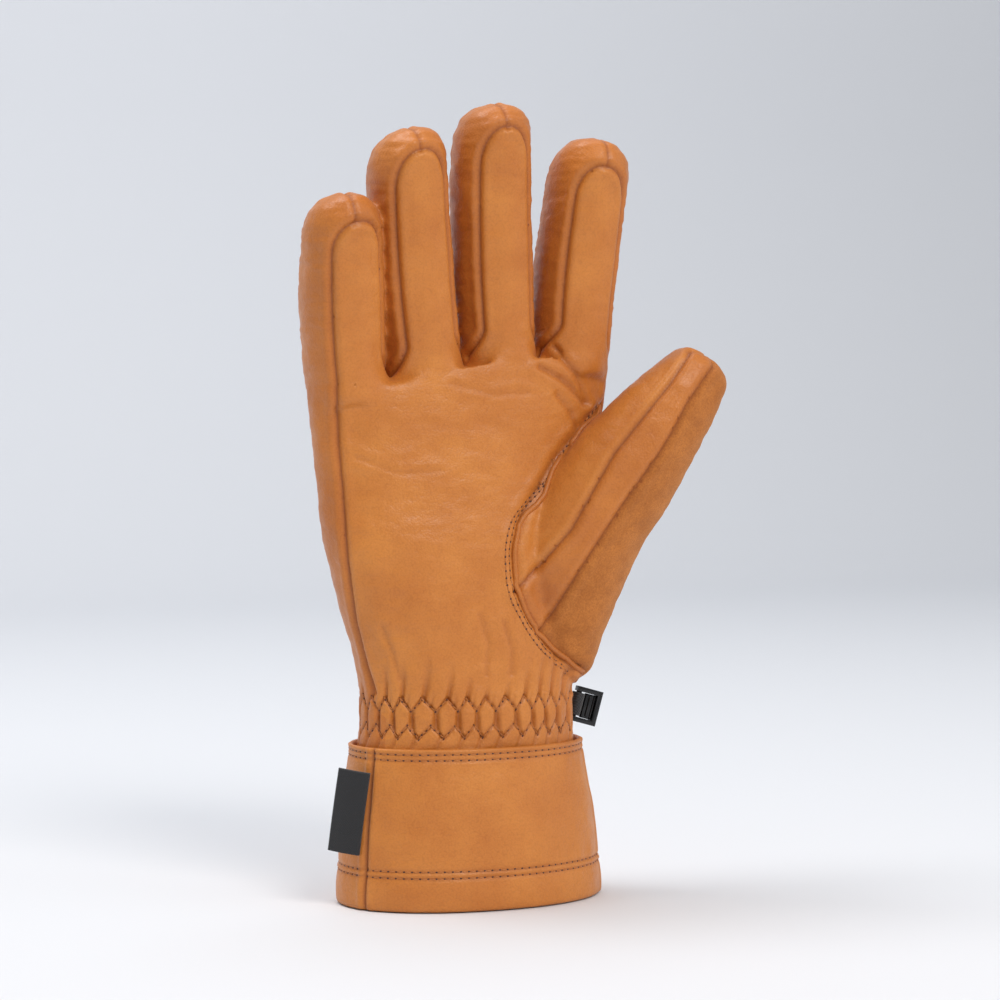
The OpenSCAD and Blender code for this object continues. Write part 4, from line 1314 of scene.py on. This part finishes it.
class SKIGLOVE_OT_lining(bpy.types.Operator):
    """Fit the quilted fleece lining in the cuff, hand, fingers and thumb"""

    bl_idname = "skiglove.lining"
    bl_label = "Linings"

    def execute(self, context):
        def loft(rows_at, start, end, depth, along=40, across=48):
            def place(u, v):
                return ruffled(rows_at(start + (end - start) * v), 360 * u, depth)
            return mapped_grid(across, along, place, closed=True)

        cuff = lining_piece("cuff_lining_fleece", loft(cuff_rows, 1.0, 52.0, WALL - 0.6),
                            ("cuff_lining", "cuff_batting"))
        hand = lining_piece("hand_lining_fleece", loft(hand_rows, 50.0, 180.0, WALL, 50, 64),
                            ("hand_lining", "palm_batting", "back_batting", "elastic_upper",
                             "elastic_lower"))
        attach(cuff, "hand")
        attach(hand, "hand")
        for i, finger in enumerate(FINGERS):
            bm = loft(lambda f, i=i: finger_rows(i, f), 0.03, 0.93, WALL, 30, 32)
            bend_at_finger(lining_piece(finger + "_lining_fleece", capped(bm),
                                        (finger + "_lining", finger + "_batting")))
        s_root = CHAIN_KEYS[len(BALL)]
        bm = loft(thumb_rows, s_root + 2, CHAIN_KEYS[-1] - 6, WALL, 30, 32)
        bend_at_thumb(lining_piece("thumb_lining_fleece", capped(bm),
                                   ("thumb_lining", "thumb_batting")))
        return {"FINISHED"}


class SKIGLOVE_OT_crotches(bpy.types.Operator):
    """Fold the leather ends of the side strips into the gaps between the fingers"""

    bl_idname = "skiglove.crotches"
    bl_label = "Crotch Folds"

    def execute(self, context):
        bm = bmesh.new()
        for i in (1, 2, 3):
            x, z = KNUCKLES[i]
            lean = (finger_tilt(i - 1) + finger_tilt(i)) / 2

            def place(u, v, x=x, z=z, lean=lean):
                along = (v * 2 - 1) * 11.0
                half = 2.2 + 1.6 * (along / 11.0) ** 2
                side = (u * 2 - 1) * half
                sag = -3.6 - 0.9 * (1 - (u * 2 - 1) ** 2)
                return np.column_stack([x + side * math.cos(lean), along,
                                        z + side * math.sin(lean) + sag])

            fold = mapped_grid(10, 24, place)
            bmesh.ops.recalc_face_normals(fold, faces=fold.faces)
            bmesh.ops.solidify(fold, geom=fold.faces[:], thickness=1.0 * MM)
            pour(fold, bm)
        bmesh.ops.recalc_face_normals(bm, faces=bm.faces)
        piece = to_object(bm, "crotch_folds", finish_of("side"))
        # Painted shade: the folds between the fingers are evenly darkened.
        point_attribute(piece.data, "crease_and_shade", np.full(len(piece.data.vertices), 0.5))
        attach(piece, "hand")
        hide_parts("finger_crotches")
        return {"FINISHED"}


class SKIGLOVE_OT_label(bpy.types.Operator):
    """Fold the woven label into the cuff's ulnar seam"""

    bl_idname = "skiglove.label"
    bl_label = "Side Label"

    def execute(self, context):
        wide, high, thick = 10.6, 28.0, 0.45
        low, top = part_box("side_label")
        middle = (np.array(low) + np.array(top)) / 2 / MM
        across = np.array([math.cos(math.radians(143)), math.sin(math.radians(143)), 0.0])
        out = np.array([-across[1], across[0], 0.0])
        lean = math.radians(8)
        up = np.array([0.0, 0.0, 1.0]) * math.cos(lean) - across * math.sin(lean)
        across = across * math.cos(lean) + np.array([0.0, 0.0, 1.0]) * math.sin(lean)
        start = middle - across * wide / 2 - up * high / 2 + out * 0.2 + np.array([0, 0, 0.8])
        fold = 0.55
        round_fold = math.pi * fold

        def place(u, v):
            run = u * (2 * wide + round_fold) - wide
            bend = np.clip(run / round_fold, 0, 1) * math.pi
            reach = np.where(run < 0, wide + run, np.where(
                run > round_fold, wide - (run - round_fold), wide + fold * np.sin(bend)))
            rise = fold * (1 - np.cos(bend)) - fold
            bow = 0.5 * np.sin(np.pi * reach / wide) + 0.35 * np.sin(np.pi * v)
            return (start + across * reach[:, None] + up * (v * high)[:, None]
                    + out * (rise + bow)[:, None])

        bm = mapped_grid(56, 48, place)
        uv = bm.loops.layers.uv.new("weave")
        for face in bm.faces:
            for loop in face.loops:
                p = np.array(loop.vert.co) / MM - start
                loop[uv].uv = (p @ across, p @ up)
        bmesh.ops.recalc_face_normals(bm, faces=bm.faces)
        bmesh.ops.solidify(bm, geom=bm.faces[:], thickness=thick * MM)
        bmesh.ops.recalc_face_normals(bm, faces=bm.faces)
        piece = to_object(bm, "side_label_cloth", finish_of("label"))
        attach(piece, "hand")
        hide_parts("side_label")
        return {"FINISHED"}


def softened(node, width, segments, name, material, uv=False):
    """A merged copy of a CAD node with its edges rounded."""
    bm = bmesh.new()
    bm.from_mesh(frame["nodes"][node].data)
    bmesh.ops.remove_doubles(bm, verts=bm.verts, dist=1e-6)
    bmesh.ops.dissolve_limit(bm, angle_limit=math.radians(3), verts=bm.verts, edges=bm.edges)
    bmesh.ops.recalc_face_normals(bm, faces=bm.faces)
    sharp = [e for e in bm.edges if e.is_manifold and e.calc_face_angle(0) > math.radians(30)]
    bmesh.ops.bevel(bm, geom=sharp, affect="EDGES", offset=width * MM, segments=segments,
                    profile=0.5, material=-1, clamp_overlap=True)
    if uv:
        layer = bm.loops.layers.uv.new("weave")
        for face in bm.faces:
            for loop in face.loops:
                p = loop.vert.co / MM
                loop[layer].uv = (p.x + p.y, p.z)
    return to_object(bm, name, material, smooth=False)


class SKIGLOVE_OT_clip(bpy.types.Operator):
    """Make the webbing tab and the two moulded pieces of the clip"""

    bl_idname = "skiglove.clip"
    bl_label = "Clip"

    def execute(self, context):
        for node, body, slot, kind, width in (
                ("clip_frame", "clip", "clip_plastic", "acetal", 0.5),
                ("clip_tab", "hand", "webbing", "webbing", 0.2)):
            piece = softened(node, width, 2, node + "_" + kind, finish_of(kind),
                             uv=kind == "webbing")
            piece.data.polygons.foreach_set("use_smooth", [True] * len(piece.data.polygons))
            piece.data.set_sharp_from_angle(angle=math.radians(40))
            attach(piece, body)
            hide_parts(node)
        tongue = self.tongue()
        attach(tongue, "clip_tongue")
        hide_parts("clip_tongue")
        return {"FINISHED"}

    def tongue(self):
        """The springy plate that fills the clip's window, with a raised rib and rounded rims."""
        bm = bmesh.new()
        for size, spot in (((4.1, 1.3, 8.7), (4.5, 0.1, 0)), ((0.9, 0.9, 7.2), (4.4, -0.75, 0)),
                           ((0.7, 0.7, 8.2), (2.9, -0.6, 0)), ((0.7, 0.7, 8.2), (6.1, -0.6, 0))):
            part = bmesh.new()
            place = Matrix.Translation(spot) @ Matrix.Diagonal((*size, 1))
            bmesh.ops.create_cube(part, size=1, matrix=place)
            bmesh.ops.bevel(part, geom=part.edges[:], affect="EDGES", offset=0.28, segments=2,
                            profile=0.5, material=-1, clamp_overlap=True)
            pour(part, bm)
        place = (Matrix.Translation(in_frame(*CLIP_AT)) @ Matrix.Rotation(CLIP_LEAN, 4, "Y")
                 @ Matrix.Scale(MM, 4))
        bmesh.ops.transform(bm, matrix=place, verts=bm.verts)
        bmesh.ops.recalc_face_normals(bm, faces=bm.faces)
        return to_object(bm, "clip_tongue_acetal", finish_of("acetal"))


class SKIGLOVE_OT_stage(bpy.types.Operator):
    """Set up the pale floor, the soft lights and the camera"""

    bl_idname = "skiglove.stage"
    bl_label = "Stage"

    def execute(self, context):
        settings = context.scene.ski_glove

        def sweep(u, v):
            x = (u * 2 - 1) * 3200
            run = v * 5200 - 1900
            bend = np.clip((run - 1500) / 900, 0, 1) * np.pi / 2
            y = np.where(run < 1500, run, 1500 + 573 * np.sin(bend))
            z = np.where(run < 1500, 0, 573 * (1 - np.cos(bend)) + np.maximum(run - 2400, 0))
            return np.column_stack([x, y, z - 0.4])

        floor = to_object(mapped_grid(4, 60, sweep), "studio_sweep",
                          painted("Matt studio paper", settings.paper, 0.9))
        world = bpy.data.worlds.new("Studio air")
        context.scene.world = world
        world.use_nodes = True
        air = world.node_tree.nodes["Background"]
        air.inputs["Color"].default_value = linear("#ECEEF0")
        air.inputs["Strength"].default_value = settings.fill
        for name, place, aim, size, power, colour in (
                ("key", (0.2, -1.4, 1.3), (0, 0, 0.12), 0.8, settings.key, "#FFF8F0"),
                ("fill", (1.25, -0.9, 0.7), (0, 0, 0.12), 1.3, settings.key * 0.22, "#F4F6FF"),
                ("top", (-0.7, 0.25, 1.6), (0, 0, 0.1), 0.9, settings.key * 0.75, "#FFFFFF"),
                ("wall", (0, 0.7, 2.2), (0, 2.0, 0.7), 1.6, settings.key * 1.05, "#F2F5FC")):
            data = bpy.data.lights.new(name, "AREA")
            data.shape, data.size, data.energy = "DISK", size, power
            data.color = linear(colour)[:3]
            lamp = bpy.data.objects.new(name, data)
            lamp.location = place
            lamp.rotation_euler = (Vector(aim) - Vector(place)).to_track_quat("-Z", "Y").to_euler()
            context.scene.collection.objects.link(lamp)
        camera = bpy.data.cameras.new("camera")
        camera.lens, camera.sensor_width = 96.04, 36.0
        camera.clip_start, camera.clip_end = 0.05, 20
        eye = bpy.data.objects.new("camera", camera)
        azimuth, away, level = math.radians(EYE_TURN), EYE_AWAY * MM, EYE_HIGH * MM
        back = Vector((math.sin(azimuth), -math.cos(azimuth), 0))
        ahead = (-back + Vector((0, 0, math.tan(math.radians(EYE_DIP))))).normalized()
        right = ahead.cross(Vector((0, 0, 1))).normalized()
        up = right.cross(ahead)
        aim = ahead + right * 0.01155 - up * 0.01758
        eye.location = back * away + Vector((0, 0, level))
        eye.rotation_euler = aim.to_track_quat("-Z", "Y").to_euler()
        context.scene.collection.objects.link(eye)
        context.scene.camera = eye
        context.scene.view_settings.view_transform = "Standard"
        return {"FINISHED"}


class SkiGloveSettings(bpy.types.PropertyGroup):
    """Colours and light of the glove"""

    leather_light: bpy.props.StringProperty(
        name="Leather, light", description="Lighter tone of the goatskin, sRGB hex",
        default="#D08236")
    leather_dark: bpy.props.StringProperty(
        name="Leather, dark", description="Darker tone of the goatskin, sRGB hex",
        default="#C1722A")
    strip_light: bpy.props.StringProperty(
        name="Strips, light", description="Lighter tone of the side strips, sRGB hex",
        default="#C8782F")
    strip_dark: bpy.props.StringProperty(
        name="Strips, dark", description="Darker tone of the side strips, sRGB hex",
        default="#B96A26")
    suede_light: bpy.props.StringProperty(
        name="Suede, light", description="Lighter tone of the suede, sRGB hex",
        default="#CA7D36")
    suede_dark: bpy.props.StringProperty(
        name="Suede, dark", description="Darker tone of the suede, sRGB hex",
        default="#B26928")
    thread: bpy.props.StringProperty(
        name="Thread", description="Colour of the sewing thread, sRGB hex", default="#CC8640")
    paper: bpy.props.StringProperty(
        name="Paper", description="Colour of the studio paper, sRGB hex", default="#E3E5E9")
    key: bpy.props.FloatProperty(
        name="Key light", description="Power of the key light", default=16.2, min=0.0,
        unit="POWER")
    fill: bpy.props.FloatProperty(
        name="Fill", description="Strength of the light from all round", default=0.47,
        min=0.0, subtype="FACTOR")


class SKIGLOVE_PT_build(bpy.types.Panel):
    """Lists the glove's pieces in the order in which they are made"""

    bl_label = "Ski Glove"
    bl_space_type = "VIEW_3D"
    bl_region_type = "UI"
    bl_category = "Ski Glove"

    def draw(self, context):
        for step in STEPS:
            self.layout.operator(step.bl_idname)
        for name in SkiGloveSettings.__annotations__:
            self.layout.prop(context.scene.ski_glove, name)


STEPS = (SKIGLOVE_OT_leather, SKIGLOVE_OT_gusset, SKIGLOVE_OT_wrist, SKIGLOVE_OT_cuff,
         SKIGLOVE_OT_crotches, SKIGLOVE_OT_lining, SKIGLOVE_OT_label, SKIGLOVE_OT_clip,
         SKIGLOVE_OT_stage)
CLASSES = (SkiGloveSettings, *STEPS, SKIGLOVE_PT_build)


def register():
    for kind in CLASSES:
        bpy.utils.register_class(kind)
    bpy.types.Scene.ski_glove = bpy.props.PointerProperty(type=SkiGloveSettings)


def unregister():
    del bpy.types.Scene.ski_glove
    for kind in reversed(CLASSES):
        bpy.utils.unregister_class(kind)


def main():
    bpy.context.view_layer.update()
    register()
    bpy.ops.skiglove.leather()
    bpy.ops.skiglove.gusset()
    bpy.ops.skiglove.wrist()
    bpy.ops.skiglove.cuff()
    bpy.ops.skiglove.crotches()
    bpy.ops.skiglove.lining()
    bpy.ops.skiglove.label()
    bpy.ops.skiglove.clip()
    bpy.ops.skiglove.stage()


if __name__ == "__main__":
    main()
